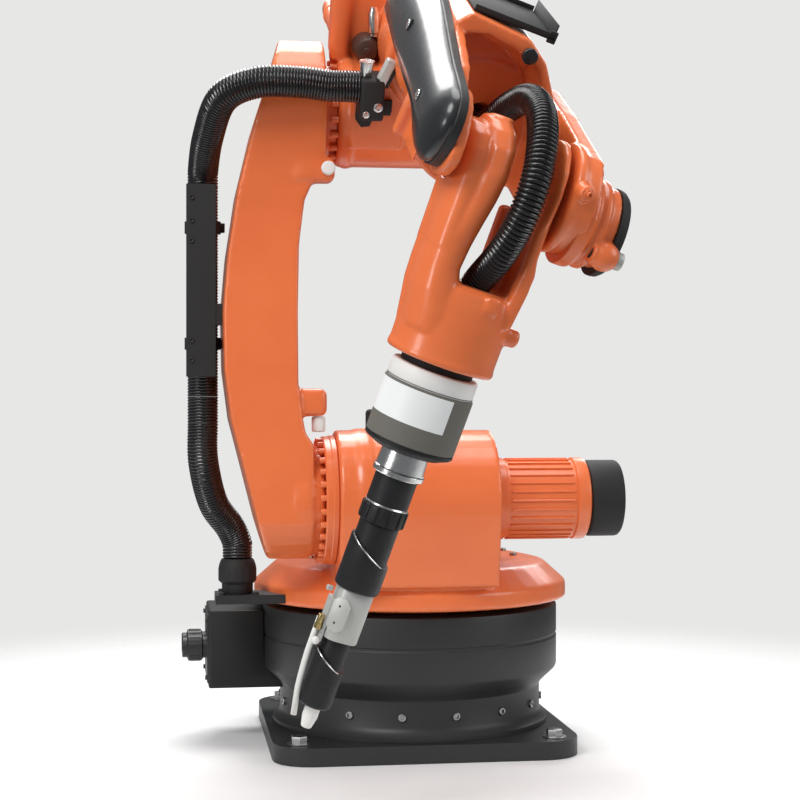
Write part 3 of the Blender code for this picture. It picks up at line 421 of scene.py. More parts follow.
class Shape:
    """A bmesh that grows by operators and ends as one piece of the robot."""

    def __init__(self) -> None:
        """Start empty."""
        self.bm = bmesh.new()

    def turned(self, profile: Profile, matrix: Matrix, steps: int = 64) -> Shape:
        """Spin a profile of (radius, height) about Z; it starts and ends on the axis.

        Args:
            profile: The points, from one end on the axis to the other.
            matrix: Where the turned shape goes.
            steps: How many steps go round.

        Returns:
            The same shape, for further calls.
        """
        part = bmesh.new()
        verts = [part.verts.new((radius, 0, height)) for radius, height in profile]
        edges = [part.edges.new(pair) for pair in zip(verts, verts[1:])]
        bmesh.ops.spin(part, geom=verts + edges, axis=(0, 0, 1), cent=(0, 0, 0), angle=2 * math.pi,
                       steps=steps, use_merge=True, use_duplicate=False)
        bmesh.ops.remove_doubles(part, verts=part.verts, dist=MERGE)
        bmesh.ops.recalc_face_normals(part, faces=part.faces)
        return self._take(part, matrix)

    def drum(self, radius: float, low: float, high: float, matrix: Matrix, edge: float = 0.0015,
             steps: int = 64) -> Shape:
        """Turn a drum with rounded rims along Z."""
        side: list[tuple[float, float]] = [(0, high)]
        for index in range(RIM_STEPS + 1):
            a = math.pi / 2 * (1 - index / RIM_STEPS)
            side.append((radius - edge + edge * math.cos(a), high - edge + edge * math.sin(a)))
        for index in range(RIM_STEPS + 1):
            a = -math.pi / 2 * index / RIM_STEPS
            side.append((radius - edge + edge * math.cos(a), low + edge + edge * math.sin(a)))
        side.append((0, low))
        return self.turned(side, matrix, steps)

    def block(self, low: Point, high: Point, matrix: Matrix, edge: float = 0.002, segments: int = 2) -> Shape:
        """Make a box between two corners with rounded edges."""
        part = bmesh.new()
        bmesh.ops.create_cube(part, size=1.0)
        size = Vector(high) - Vector(low)
        bmesh.ops.scale(part, vec=size, verts=part.verts)
        bmesh.ops.translate(part, vec=(Vector(high) + Vector(low)) / 2, verts=part.verts)
        if edge:
            rounded(part, part.edges[:], edge, segments)
        return self._take(part, matrix)

    def slab(self, points: Profile, low: float, high: float, matrix: Matrix, edge: float = 0.0,
             segments: int = 3) -> Shape:
        """Extrude a flat outline in XY from one height to another, with rounded rims.

        Args:
            points: The outline, counted round once.
            low: The lower height.
            high: The upper height.
            matrix: Where the slab goes.
            edge: The rim's rounding.
            segments: Steps of the rounding.

        Returns:
            The same shape.
        """
        part = bmesh.new()
        face = part.faces.new([part.verts.new((x, y, low)) for x, y in points])
        raised = bmesh.ops.extrude_face_region(part, geom=[face])
        moved = [item for item in raised["geom"] if isinstance(item, bmesh.types.BMVert)]
        bmesh.ops.translate(part, vec=(0, 0, high - low), verts=moved)
        bmesh.ops.recalc_face_normals(part, faces=part.faces)
        if edge:
            rims = [e for e in part.edges if abs(e.verts[0].co.z - e.verts[1].co.z) < 1e-7]
            rounded(part, rims, edge, segments)
        return self._take(part, matrix)

    def loft(self, stations: Sequence[Station], matrix: Matrix, power: float = 2.6,
             sides: int = 40) -> Shape:
        """Extrude a rounded section along Z from station to station.

        Args:
            stations: For each station its height, its lowest and highest X and its half depth in Y.
            matrix: Where the loft goes.
            power: 2 gives ellipses, more gives squarer sections.
            sides: How many sides go round.

        Returns:
            The same shape.
        """
        part = bmesh.new()
        ring = bmesh.ops.create_circle(part, cap_ends=False, segments=sides, radius=1.0)["verts"]
        for vert in ring:
            vert.co.x = math.copysign(abs(vert.co.x) ** (2 / power), vert.co.x)
            vert.co.y = math.copysign(abs(vert.co.y) ** (2 / power), vert.co.y)
        edges = list(part.edges)
        now = Matrix.Identity(4)
        for index, (height, low, high, depth) in enumerate(stations):
            later = Matrix.Translation(((low + high) / 2, 0, height)) @ Matrix.Diagonal(
                ((high - low) / 2, depth, 1, 1))
            if index:
                ring, edges = grown(part, edges)
            bmesh.ops.transform(part, matrix=later @ now.inverted(), verts=ring)
            now = later
        bmesh.ops.holes_fill(part, edges=part.edges, sides=0)
        bmesh.ops.recalc_face_normals(part, faces=part.faces)
        return self._take(part, matrix)

    def prism(self, first: Profile, second: Profile, low: float, high: float, matrix: Matrix) -> Shape:
        """Bridge one outline to another with as many points, at two heights."""
        part = bmesh.new()
        edges: list[bmesh.types.BMEdge] = []
        for points, height in ((first, low), (second, high)):
            edges += part.faces.new([part.verts.new((x, y, height)) for x, y in points]).edges
        bmesh.ops.bridge_loops(part, edges=edges)
        bmesh.ops.recalc_face_normals(part, faces=part.faces)
        return self._take(part, matrix)

    def domed(self, points: Profile, spine: tuple[Point, Point], wall: float, rise: float, share: float,
              matrix: Matrix, steps: int = 10) -> Shape:
        """Raise an outline along Z: a wall, then a crown that closes in on a spine.

        Args:
            points: The outline, counted round once.
            spine: The two ends of the line that the crown closes in on.
            wall: Height of the straight wall.
            rise: How far the crown rises over the wall.
            share: How far the crown closes in, 1 being as far as the spine.
            matrix: Where the shape goes.
            steps: Steps of the crown.

        Returns:
            The same shape.
        """
        part = bmesh.new()
        base = part.faces.new([part.verts.new((x, y, 0)) for x, y in points])
        edges = list(base.edges)
        start, along = Vector(spine[0]), Vector(spine[1]) - Vector(spine[0])
        before = (0.0, 0.0)
        for index in range(-1, steps + 1):
            a = math.pi / 2 * max(index, 0) / steps
            now = (share * (1 - math.cos(a)), wall + rise * math.sin(a))
            ring, edges = grown(part, edges)
            for vert in ring:
                flat = vert.co.xy
                reach = min(max((flat - start).dot(along) / along.length_squared, 0), 1)
                goal = start + along * reach
                vert.co.xy = flat.lerp(goal, (now[0] - before[0]) / (1 - before[0]))
                vert.co.z = now[1]
            before = now
        bmesh.ops.holes_fill(part, edges=edges, sides=0)
        bmesh.ops.recalc_face_normals(part, faces=part.faces)
        return self._take(part, matrix)

    def patch(self, radius: float, thick: float, low: float, high: float, start: float, angle: float,
              matrix: Matrix) -> Shape:
        """Lay a thin plate round a drum about Z, over part of the way round.

        Args:
            radius: The plate's inner radius.
            thick: Its thickness.
            low: Its lower edge.
            high: Its upper edge.
            start: Degrees at which it begins.
            angle: Degrees that it spans.
            matrix: Where the drum stands.

        Returns:
            The same shape.
        """
        part = bmesh.new()
        corners = ((radius, low), (radius + thick, low), (radius + thick, high), (radius, high))
        verts = [part.verts.new((r, 0, z)) for r, z in corners]
        edges = [part.edges.new(pair) for pair in zip(verts, verts[1:] + verts[:1])]
        bmesh.ops.spin(part, geom=verts + edges, axis=(0, 0, 1), cent=(0, 0, 0), angle=math.radians(angle),
                       steps=max(6, round(angle / 5)), use_duplicate=False)
        bmesh.ops.holes_fill(part, edges=part.edges, sides=4)
        bmesh.ops.recalc_face_normals(part, faces=part.faces)
        return self._take(part, matrix @ rotated(start))

    def carved(self, tool: Shape) -> Shape:
        """Take another closed shape away from this one."""
        body, cutter = self.object("body"), tool.object("cutter")
        cut = body.modifiers.new("cut", "BOOLEAN")
        cut.operation, cut.solver, cut.use_self, cut.object = "DIFFERENCE", "EXACT", True, cutter
        applied(body)
        self.bm = bmesh.new()
        self.bm.from_mesh(body.data)
        for obj in (body, cutter):
            mesh = obj.data
            bpy.data.objects.remove(obj)
            bpy.data.meshes.remove(mesh)
        return self

    def ball(self, radius: float, matrix: Matrix) -> Shape:
        """Make a ball."""
        part = bmesh.new()
        bmesh.ops.create_uvsphere(part, u_segments=24, v_segments=16, radius=radius)
        return self._take(part, matrix)

    def node(self, name: str) -> Shape:
        """Take in a merged copy of a node of the frame."""
        part = bmesh.new()
        part.from_mesh(Robot.frame["nodes"][name].data)
        bmesh.ops.remove_doubles(part, verts=part.verts, dist=MERGE)
        return self._take(part, Matrix.Identity(4))

    def plain(self) -> Shape:
        """Join the triangles of each flat face."""
        bmesh.ops.dissolve_limit(self.bm, angle_limit=FLAT_ANGLE, verts=self.bm.verts, edges=self.bm.edges)
        return self

    def socket_screw(self, matrix: Matrix, radius: float = 0.0045, tall: float = 0.0045) -> Shape:
        """Make a socket head with a six-sided hole, standing on Z = 0."""
        part = bmesh.new()
        bmesh.ops.create_cone(part, cap_ends=True, segments=24, radius1=radius, radius2=radius, depth=tall)
        bmesh.ops.translate(part, vec=(0, 0, tall / 2), verts=part.verts)
        rims = [e for e in part.edges if e.verts[0].co.z > tall * 0.9 and e.verts[1].co.z > tall * 0.9]
        rounded(part, rims, radius * RIM_SHARE, 2)
        top = max((f for f in part.faces if len(f.verts) > 8), key=lambda f: f.calc_center_median().z)
        bmesh.ops.inset_region(part, faces=[top], thickness=radius * SOCKET_INSET)
        for vert in top.verts:
            corner = round(math.atan2(vert.co.y, vert.co.x) / (math.pi / 3))
            flat = math.atan2(vert.co.y, vert.co.x) - corner * math.pi / 3
            reach = radius * SOCKET_REACH / max(math.cos(flat), 0.5)
            angle = flat + corner * math.pi / 3
            vert.co.xy = Vector((math.cos(angle), math.sin(angle))) * reach
        sunk = bmesh.ops.extrude_face_region(part, geom=[top])
        down = [v for v in sunk["geom"] if isinstance(v, bmesh.types.BMVert)]
        bmesh.ops.translate(part, vec=(0, 0, -tall * SOCKET_DEPTH), verts=down)
        bmesh.ops.delete(part, geom=[top], context="FACES_ONLY")
        return self._take(part, matrix)

    def slotted(self, matrix: Matrix, radius: float = 0.004, tall: float = 0.0016) -> Shape:
        """Make a low screw head with a slot, standing on Z = 0."""
        half = radius * 0.16
        head = Shape().drum(radius, 0, tall, Matrix.Identity(4), radius * 0.2, 32)
        slot = Shape().block((-radius, -half, tall * 0.45), (radius, half, tall * 2), Matrix.Identity(4), 0)
        head.carved(slot)
        return self._take(head.bm, matrix)

    def hex_head(self, matrix: Matrix, across: float = 0.012, tall: float = 0.006) -> Shape:
        """Make a six-sided bolt head on a washer, standing on Z = 0."""
        part = bmesh.new()
        half = across / 2
        bmesh.ops.create_cone(part, cap_ends=True, segments=6, radius1=half, radius2=half, depth=tall)
        bmesh.ops.translate(part, vec=(0, 0, tall / 2 + 0.0014), verts=part.verts)
        rims = [e for e in part.edges if min(v.co.z for v in e.verts) > tall * 0.9]
        rounded(part, rims, across * 0.06, 2)
        self._take(part, matrix)
        return self.drum(across * 0.72, 0, 0.0016, matrix, 0.0004, 32)

    def circle_of(self, count: int, radius: float, matrix: Matrix, add: Callable[[Matrix], object],
                  start: float = 0.0) -> Shape:
        """Repeat a small thing round a circle about Z.

        Args:
            count: How many.
            radius: The circle's radius.
            matrix: Where the circle goes.
            add: Adds one thing at a matrix.
            start: Degrees of the first.

        Returns:
            The same shape.
        """
        for index in range(count):
            turn = Matrix.Rotation(math.radians(start) + 2 * math.pi * index / count, 4, "Z")
            add(matrix @ turn @ Matrix.Translation((radius, 0, 0)))
        return self

    def ribs(self, count: int, radius: float, matrix: Matrix, low: Point, high: Point,
             edge: float = 0.0004, segments: int = 1) -> Shape:
        """Put small rounded boxes round a circle about Z, as ribs or knurls."""
        return self.circle_of(count, radius, matrix, lambda m: self.block(low, high, m, edge, segments))

    def bolts(self, count: int, radius: float, matrix: Matrix, size: float, tall: float,
              start: float = 0.0) -> Shape:
        """Put socket screws round a circle about Z."""
        return self.circle_of(count, radius, matrix, lambda m: self.socket_screw(m, size, tall), start)

    def sweep(self, route: Sequence[Vector], radii: Sequence[float], matrix: Matrix,
              sides: int = 28) -> Shape:
        """Extrude a circle along a route, one ring for each of its points, with closed ends.

        Args:
            route: The middle of each ring.
            radii: The radius of each ring.
            matrix: Where the route lies.
            sides: How many sides go round.

        Returns:
            The same shape.
        """
        part = bmesh.new()
        heading = (route[1] - route[0]).normalized()
        made = bmesh.ops.create_circle(part, cap_ends=False, segments=sides, radius=1.0)
        frame = heading.to_track_quat("Z", "Y").to_matrix().to_4x4()
        now = Matrix.Translation(route[0]) @ frame @ Matrix.Scale(radii[0], 4)
        bmesh.ops.transform(part, matrix=now, verts=made["verts"])
        edges = list(part.edges)
        bmesh.ops.holes_fill(part, edges=edges, sides=0)
        for index in range(1, len(route)):
            ahead = route[min(index + 1, len(route) - 1)] - route[index - 1]
            turn = heading.rotation_difference(ahead.normalized()).to_matrix().to_4x4()
            heading = ahead.normalized()
            frame = turn @ frame
            later = Matrix.Translation(route[index]) @ frame @ Matrix.Scale(radii[index], 4)
            verts, edges = grown(part, edges)
            bmesh.ops.transform(part, matrix=later @ now.inverted(), verts=verts)
            now = later
        bmesh.ops.holes_fill(part, edges=edges, sides=0)
        bmesh.ops.recalc_face_normals(part, faces=part.faces)
        return self._take(part, matrix)

    def _take(self, part: bmesh.types.BMesh, matrix: Matrix) -> Shape:
        """Move a finished part to its place and join it to this shape."""
        bmesh.ops.transform(part, matrix=matrix, verts=part.verts)
        mesh = bpy.data.meshes.new("part")
        part.to_mesh(mesh)
        part.free()
        self.bm.from_mesh(mesh)
        bpy.data.meshes.remove(mesh)
        return self

    def object(self, name: str) -> bpy.types.Object:
        """End the shape as an object at the origin."""
        mesh = bpy.data.meshes.new(name)
        self.bm.to_mesh(mesh)
        self.bm.free()
        made = bpy.data.objects.new(name, mesh)
        bpy.context.scene.collection.objects.link(made)
        return made


def applied(obj: bpy.types.Object) -> bpy.types.Object:
    """Keep an object's modified mesh and drop its modifiers."""
    bpy.context.view_layer.update()
    evaluated = obj.evaluated_get(bpy.context.evaluated_depsgraph_get())
    mesh = bpy.data.meshes.new_from_object(evaluated)
    obj.modifiers.clear()
    old = obj.data
    obj.data = mesh
    mesh.name = obj.name
    bpy.data.meshes.remove(old)
    return obj


class Robot:
    """Holds the frame and puts finished pieces on its bodies."""

    # How far each round smooths a casting, and the share of its faces that stays.
    ease: float = 0.5
    kept_faces: float = 0.5
    frame: dict = {}
    places: dict[str, Matrix] = Pose().frames()

    @classmethod
    def keep(cls, name: str, shape: Shape | bpy.types.Object, body: str, finish: Finish,
             nodes: Sequence[str] = (), smooth: float = 35.0) -> bpy.types.Object:
        """Finish a piece: material, shading, body and the nodes that it stands for.

        Args:
            name: The piece's name.
            shape: The shape, or an object that is already made.
            body: The body that it rides on.
            finish: Its finish.
            nodes: The nodes that it replaces.
            smooth: Edges flatter than this many degrees are shaded smooth.

        Returns:
            The finished object.
        """
        made = shape.object(name) if isinstance(shape, Shape) else shape
        made.data.materials.clear()
        made.data.materials.append(finish.material())
        made.data.shade_smooth()
        made.data.set_sharp_from_angle(angle=math.radians(smooth))
        if body:
            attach(made, body)
        if nodes:
            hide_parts(*nodes)
        LOG.info("%s: %d faces on %s", name, len(made.data.polygons), body or "two bodies")
        return made

    @classmethod
    def casting(cls, name: str, shape: Shape, body: str, nodes: Sequence[str], voxel: float = 0.0026,
                rounds: int = 10) -> bpy.types.Object:
        """Fuse overlapping shapes to one painted skin with rounded edges and fillets, as a casting has.

        Args:
            name: The piece's name.
            shape: The overlapping closed shapes.
            body: The body that it rides on.
            nodes: The nodes that it replaces.
            voxel: The size of the fusing grid.
            rounds: How often the skin is smoothed.

        Returns:
            The finished object.
        """
        made = shape.object(name)
        fuse = made.modifiers.new("fuse", "REMESH")
        fuse.mode = "VOXEL"
        fuse.voxel_size = voxel
        fuse.adaptivity = 0.0
        ease = made.modifiers.new("ease", "SMOOTH")
        ease.factor = cls.ease
        ease.iterations = rounds
        thin = made.modifiers.new("thin", "DECIMATE")
        thin.decimate_type = "COLLAPSE"
        thin.ratio = cls.kept_faces
        applied(made)
        return cls.keep(name, made, body, ORANGE, nodes, 75)


@dataclass
class Foot:
    """The plate on the floor, the round foot and the connector box."""

    hole_pitch: float = 0.200
    plate_top: float = 0.028
    radius: float = 0.243
    waist: float = 0.215
    top: float = 0.222
    box_out: float = 0.333
    screw_count: int = 16
    screw_height: float = 0.066
    plug_height: float = 0.1485
    plug_places: tuple[float, ...] = (0.015, 0.070)

    def build(self) -> None:
        """Build the pieces of the foot."""
        place = Robot.places["foot"]
        plate = Shape().node("base_plate").plain()
        Robot.keep("foot_plate", plate, "foot", IRON, ["base_plate"], 30)
        bolts = Shape()
        for x in (-self.hole_pitch, self.hole_pitch):
            for y in (-self.hole_pitch, self.hole_pitch):
                bolts.hex_head(place @ at((x, y, self.plate_top)), 0.026, 0.011)
        Robot.keep("anchor_bolts", bolts, "foot", BOLT)

        low = self.plate_top + GAP
        r, waist, top = self.radius, self.waist, self.top
        side = [(0, top), (r - 0.004, top), (r - 0.001, top - 0.001), (r, top - 0.004), (r, 0.176),
                (r - 0.0015, 0.174), (r - 0.0015, 0.171), (r, 0.169), (r, 0.123), (r - 0.002, 0.118),
                (waist + 0.004, 0.097), (waist, 0.090), (waist, 0.050), (waist + 0.004, 0.042),
                (waist + 0.012, 0.036), (waist + 0.012, low), (0, low)]
        foot = Shape().turned(side, place, 128)
        Robot.keep("round_foot", foot, "foot", IRON, ["base_foot"], 28)
        screws = Shape()
        screws.circle_of(self.screw_count, waist - 0.0015, place @ at((0, 0, self.screw_height)),
                         lambda m: screws.socket_screw(m @ at((0, 0, 0), Turn.RIGHT), 0.006, 0.005), 11.25)
        Robot.keep("foot_screws", screws, "foot", BOLT)

        box = Shape().node("connector_box").plain()
        sides = [e for e in box.bm.edges if len(e.link_faces) == 2 and e.calc_face_angle(0) > 1.2
                 and e.calc_length() > 0.05]
        rounded(box.bm, sides, 0.004, 3)
        Robot.keep("connector_housing", box, "foot", PLASTIC, ["connector_box"], 30)
        left = -self.box_out
        lid = Shape().block((left - 0.0022, -0.012, 0.093), (left + 0.001, 0.122, 0.204), place, 0.001)
        for y in (-0.004, 0.114):
            for z in (0.101, 0.196):
                lid.socket_screw(place @ at((left - 0.0022, y, z), Turn.LEFT), 0.004, 0.003)
        Robot.keep("connector_lid", lid, "foot", IRON)
        for index, y in enumerate(self.plug_places, 1):
            plug = Shape()
            side = [(0, 0.042), (0.015, 0.042), (0.0165, 0.0405), (0.0165, 0.034), (0.022, 0.032),
                    (0.022, 0.010), (0.018, 0.008), (0.018, 0.0), (0, 0)]
            mount = place @ at((left - GAP, y, self.plug_height), Turn.LEFT)
            plug.turned(side, mount, 48)
            plug.ribs(20, 0.0219, mount @ at((0, 0, 0.021)), (-0.0006, -0.0011, -0.009),
                      (0.0008, 0.0011, 0.009))
            Robot.keep(f"signal_plug_{index}", plug, "foot", IRON, [f"base_plug_{index}"])


@dataclass
class Turntable:
    """The rotating column with the shoulder housing, its motors and the hose's foot."""

    forward: float = -0.180
    height: float = 0.400
    face: float = -0.165
    housing: float = -0.1447
    right: float = 0.100
    motor_y: float = 0.145
    deck: float = 0.298
    shelf: float = 0.250
    gland: tuple[float, float] = (-0.290, -0.105)
    ribs: int = 28

    def motor(self, name: str, mount: Matrix, radius: float, tall: float, node: str) -> None:
        """Build a servo motor with flange and ribbed body."""
        valley = radius - 0.003
        side = [(0, tall), (radius - 0.004, tall), (radius - 0.001, tall - 0.002), (radius, tall - 0.006),
                (radius, tall - 0.020), (valley, tall - 0.022), (valley, 0.020), (radius, 0.018),
                (radius, 0.002), (radius - 0.002, 0), (0, 0)]
        body = Shape().turned(side, mount, 80)
        low, high = (-0.002, -0.0016, -tall / 2 + 0.024), (0.0028, 0.0016, tall / 2 - 0.026)
        body.ribs(self.ribs, valley, mount @ at((0, 0, tall / 2)), low, high, 0.0008)
        Robot.keep(name, body, "turntable", ORANGE, [node])

    def cap(self, name: str, mount: Matrix, radius: float, tall: float, node: str) -> None:
        """Build a motor's black end cap with four screws."""
        cap = Shape().drum(radius, 0, tall, mount, 0.007, 64)
        cap.bolts(4, radius * 0.72, mount @ at((0, 0, tall)), 0.003, 0.0012, 45)
        Robot.keep(name, cap, "turntable", PLASTIC, [node])

    def build(self) -> None:
        """Build the pieces of the turntable."""
        place = Robot.places["turntable"]
        shoulder = place @ at((0, self.forward, self.height))
        column = Shape().node("column")
        rim = [(0.106, 0), (0.1105, 0.002), (0.1105, 0.020), (0.106, 0.024)]
        column.turned([(0, 0.030)] + [(r, 0.030 - z) for r, z in rim] + [(0, 0)],
                      shoulder @ at((self.housing + 0.022, 0, 0), Turn.RIGHT), 96)
        column.block((-0.105, -0.245, 0.285), (-0.060, -0.150, 0.330), place, 0.012, 3)
        column.block((0.040, -0.235, 0.285), (0.085, -0.130, 0.330), place, 0.012, 3)
        Robot.casting("column_casting", column, "turntable", ["column"], 0.0034, 8)

        flange = Shape()
        left = self.face + GAP
        wide = self.housing - GAP - left
        flange.turned([(0, wide), (0.098, wide), (0.0998, wide - 0.0015), (0.0998, 0.0115), (0.0985, 0.010),
                       (0.0985, 0.002), (0.0970, 0), (0, 0)], shoulder @ at((left, 0, 0), Turn.RIGHT), 128)
        Robot.keep("shoulder_flange", flange, "turntable", ORANGE, ["a2_gear_flange"], 30)
        bolts = Shape().bolts(28, 0.0915, shoulder @ at((left, 0, 0), Turn.LEFT), 0.0048, 0.0085, 5)
        Robot.keep("shoulder_screws", bolts, "turntable", ORANGE)

        self.motor("shoulder_motor", shoulder @ at((self.right + GAP, 0, 0), Turn.RIGHT), 0.064, 0.150,
                   "a2_motor")
        self.cap("shoulder_motor_cap", shoulder @ at((self.right + 0.1506, 0, 0), Turn.RIGHT), 0.060, 0.055,
                 "a2_motor_cap")
        back = place @ at((0, self.motor_y, self.deck + GAP))
        self.motor("turning_motor", back, 0.060, 0.185, "a1_motor")
        self.cap("turning_motor_cap", back @ at((0, 0, 0.1853)), 0.056, 0.055, "a1_motor_cap")
        deck = Shape().bolts(12, 0.172, place @ at((0, 0, 0.2975)), 0.006, 0.005, 15)
        Robot.keep("deck_screws", deck, "turntable", BOLT)

        foot = Shape().node("hose_foot").plain()
        for x, y in ((-0.315, -0.078), (-0.315, -0.132), (-0.262, -0.132)):
            foot.socket_screw(place @ at((x, y, self.shelf)), 0.0042, 0.004)
        Robot.keep("hose_shelf", foot, "turntable", IRON, ["hose_foot"])
        gland = Shape()
        mount = place @ at((*self.gland, self.shelf + GAP))
        gland.turned([(0, 0.0545), (0.024, 0.0545), (0.0262, 0.0520), (0.0285, 0.046), (0.0298, 0.040),
                      (0.0298, 0.020), (0.0245, 0.015), (0.0245, 0.003), (0.0235, 0), (0, 0)], mount, 48)
        gland.ribs(18, 0.0294, mount @ at((0, 0, 0.030)), (-0.0008, -0.0016, -0.009), (0.0006, 0.0016, 0.009))
        Robot.keep("hose_gland", gland, "turntable", PLASTIC, ["hose_gland_low"])


@dataclass
class UpperArm:
    """The bowed link arm with lugs, buffers, bracket and clips."""

    line_x: float = -0.346
    line_y: float = 0.008
    screws: tuple[float, ...] = (0.215, 0.245, 0.395, 0.425, 0.460)
    clips: tuple[tuple[str, float], ...] = (("hose_clip_low", 0.232), ("hose_clip_high", 0.410))

    def build(self) -> None:
        """Build the pieces of the upper arm."""
        place = Robot.places["upper_arm"]
        arm = Shape().node("link_arm")
        arm.drum(0.088, 0, 0.030, place @ at((-0.212, 0, 0), Turn.RIGHT), 0.004, 64)
        Robot.casting("bowed_arm", arm, "upper_arm", ["link_arm"], 0.0030, 14)
        for name, mount, tall, node in (
                ("high_buffer", place @ at((-0.163, -0.0923, 0.500), Turn.FORWARD), 0.0135, "buffer_high"),
                ("low_buffer", place @ at((-0.1730, -0.050, 0.1297), Turn.DOWN), 0.0235, "buffer_low")):
            pad = Shape().drum(0.0104, 0, tall, mount, 0.0028, 40)
            Robot.keep(name, pad, "upper_arm", PALE, [node], 50)
        bracket = Shape().node("hose_bracket").plain()
        for z in self.screws:
            bracket.socket_screw(place @ at((self.line_x - 0.018, -0.045, z), Turn.FORWARD), 0.0036, 0.003)
        Robot.keep("hose_plate", bracket, "upper_arm", IRON, ["hose_bracket"])
        for name, height in self.clips:
            clip = Shape().node(name).plain()
            clip.block((self.line_x + 0.0265, self.line_y - 0.006, height + 0.002),
                       (self.line_x + 0.0335, self.line_y + 0.006, height + 0.016), place, 0.001)
            Robot.keep(name.replace("hose_clip", "hose_strap"), clip, "upper_arm", PLASTIC, [name])


@dataclass
class Hoses:
    """The ribbed dress hose in three stretches and the ribbed wrist hose."""

    radius: float = 0.0235
    wrist_radius: float = 0.0190
    pitch: float = 0.0046
    wrist_pitch: float = 0.0056
    wave: tuple[float, ...] = (0.0, 0.45, 0.88, 1.0, 0.88, 0.45)
    depth: float = 0.0016
    wrist_depth: float = 0.0028
    fine: int = 24
    line: tuple[float, float] = (-0.346, 0.008)
    shoulder: float = 0.400
    mouth: tuple[float, ...] = (0.135, 0.175)

    def route(self, knots: Sequence[Point], spacing: float) -> list[Vector]:
        """Lay points a fixed distance apart on a smooth curve with straight end stretches.

        Args:
            knots: Points that the curve passes through.
            spacing: The distance between the points that come back.

        Returns:
            The points, the last one on the last knot.
        """
        knots_v = [Vector(knot) for knot in knots]
        ends = [2 * knots_v[0] - knots_v[1]] + knots_v + [2 * knots_v[-1] - knots_v[-2]]
        fine: list[Vector] = []
        last = len(knots_v) - 2
        for index, (before, first, second, after) in enumerate(zip(ends, ends[1:], ends[2:], ends[3:])):
            for i in range(self.fine):
                t = i / self.fine
                if index in (0, last):
                    fine.append(first.lerp(second, t))
                    continue
                fine.append(0.5 * (2 * first + (second - before) * t
                                   + (2 * before - 5 * first + 4 * second - after) * t ** 2
                                   + (3 * first - before - 3 * second + after) * t ** 3))
        fine.append(knots_v[-1])
        total = sum((b - a).length for a, b in zip(fine, fine[1:]))
        count = max(2, round(total / spacing))
        step = total / count
        points, walked, target = [fine[0]], 0.0, step
        for a, b in zip(fine, fine[1:]):
            length = (b - a).length
            while target <= walked + length + 1e-9 and len(points) < count:
                points.append(a.lerp(b, (target - walked) / max(length, 1e-9)))
                target += step
            walked += length
        points.append(fine[-1])
        return points

    def ribbed(self, name: str, knots: Sequence[Point], radius: float, pitch: float, depth: float,
               place: Matrix, bodies: Sequence[str], nodes: Sequence[str],
               cuffs: tuple[float, float] = (0, 0)) -> bpy.types.Object:
        """Build one stretch of hose with ribs all along, and smooth cuffs at its ends.

        Args:
            name: The piece's name.
            knots: The middle line's knots.
            radius: Radius over the ribs.
            pitch: Distance from rib to rib.
            depth: How deep the valleys are.
            place: The frame of the knots.
            bodies: The body it rides on, or the two that it runs between, in which case it rides on neither.
            nodes: The nodes that it replaces.
            cuffs: Length of the smooth stretch at each end.

        Returns:
            The finished piece.
        """
        count = len(self.wave)
        points = self.route(knots, pitch / count)
        radii = []
        for index in range(len(points)):
            along = index * pitch / count
            left = (len(points) - 1 - index) * pitch / count
            smooth = along < cuffs[0] or left < cuffs[1]
            radii.append(radius - depth * (0.25 if smooth else 1 - self.wave[index % count]))
        shape = Shape().sweep(points, radii, place, 32)
        made = Robot.keep(name, shape, bodies[0] if len(bodies) == 1 else "", HOSE, nodes, 60)
        if len(bodies) == 2:
            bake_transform(made)
        return made

    def build(self) -> None:
        """Build the four stretches, on the routes of the frame's own tubes."""
        x, y = self.line
        top = self.shoulder + 0.160 - GAP
        low = [(x, y - 0.180, top), (x, y - 0.180, top - 0.040), (x + 0.001, -0.166, top - 0.100),
               (-0.329, -0.136, top - 0.165), (-0.302, -0.113, 0.355), (-0.290, -0.105, 0.327),
               (-0.290, -0.105, 0.3062)]
        self.ribbed("dress_hose_low", low[::-1], self.radius, self.pitch, self.depth,
                    Robot.places["turntable"], ["turntable", "upper_arm"], ["hose_low"])
        middle = [(x, y, 0.160), (x, y, 0.260), (x, y, 0.380), (x, y, 0.480)]
        self.ribbed("dress_hose_middle", middle, self.radius, self.pitch, self.depth,
                    Robot.places["upper_arm"], ["upper_arm"], ["hose_middle"])
        high = [(x, y, 0.4803), (x, y, 0.5023), (-0.340, -0.060, 0.548), (-0.320, -0.122, 0.596),
                (-0.272, -0.145, 0.616), (-0.210, -0.145, 0.618), (-0.165, -0.1435, 0.614),
                (-0.140, -0.1435, 0.614), (-0.1226, -0.1435, 0.614)]
        self.ribbed("dress_hose_high", high, self.radius, self.pitch, self.depth,
                    Robot.places["upper_arm"], ["upper_arm", "forearm"], ["hose_high"])
        pose = Pose()
        bend = math.radians(pose.bend)
        mouth = [(0.010, -pose.wrist - s * math.cos(bend), -s * math.sin(bend)) for s in self.mouth]
        wrist = [(0, -0.0043, 0), (0, -0.040, 0), (0.004, -0.080, 0.018), (0.008, -0.118, 0.054),
                 (0.012, -0.160, 0.080), (0.014, -0.212, 0.086), (0.014, -0.262, 0.073),
                 (0.015, -0.306, 0.038), (0.015, -0.326, -0.012), (0.013, -0.320, -0.066)] + mouth
        self.ribbed("wrist_hose_ribbed", wrist, self.wrist_radius, self.wrist_pitch, self.wrist_depth,
                    Robot.places["wrist_yoke"], ["wrist_yoke", "wrist"], ["wrist_hose"], (0.075, 0.0))


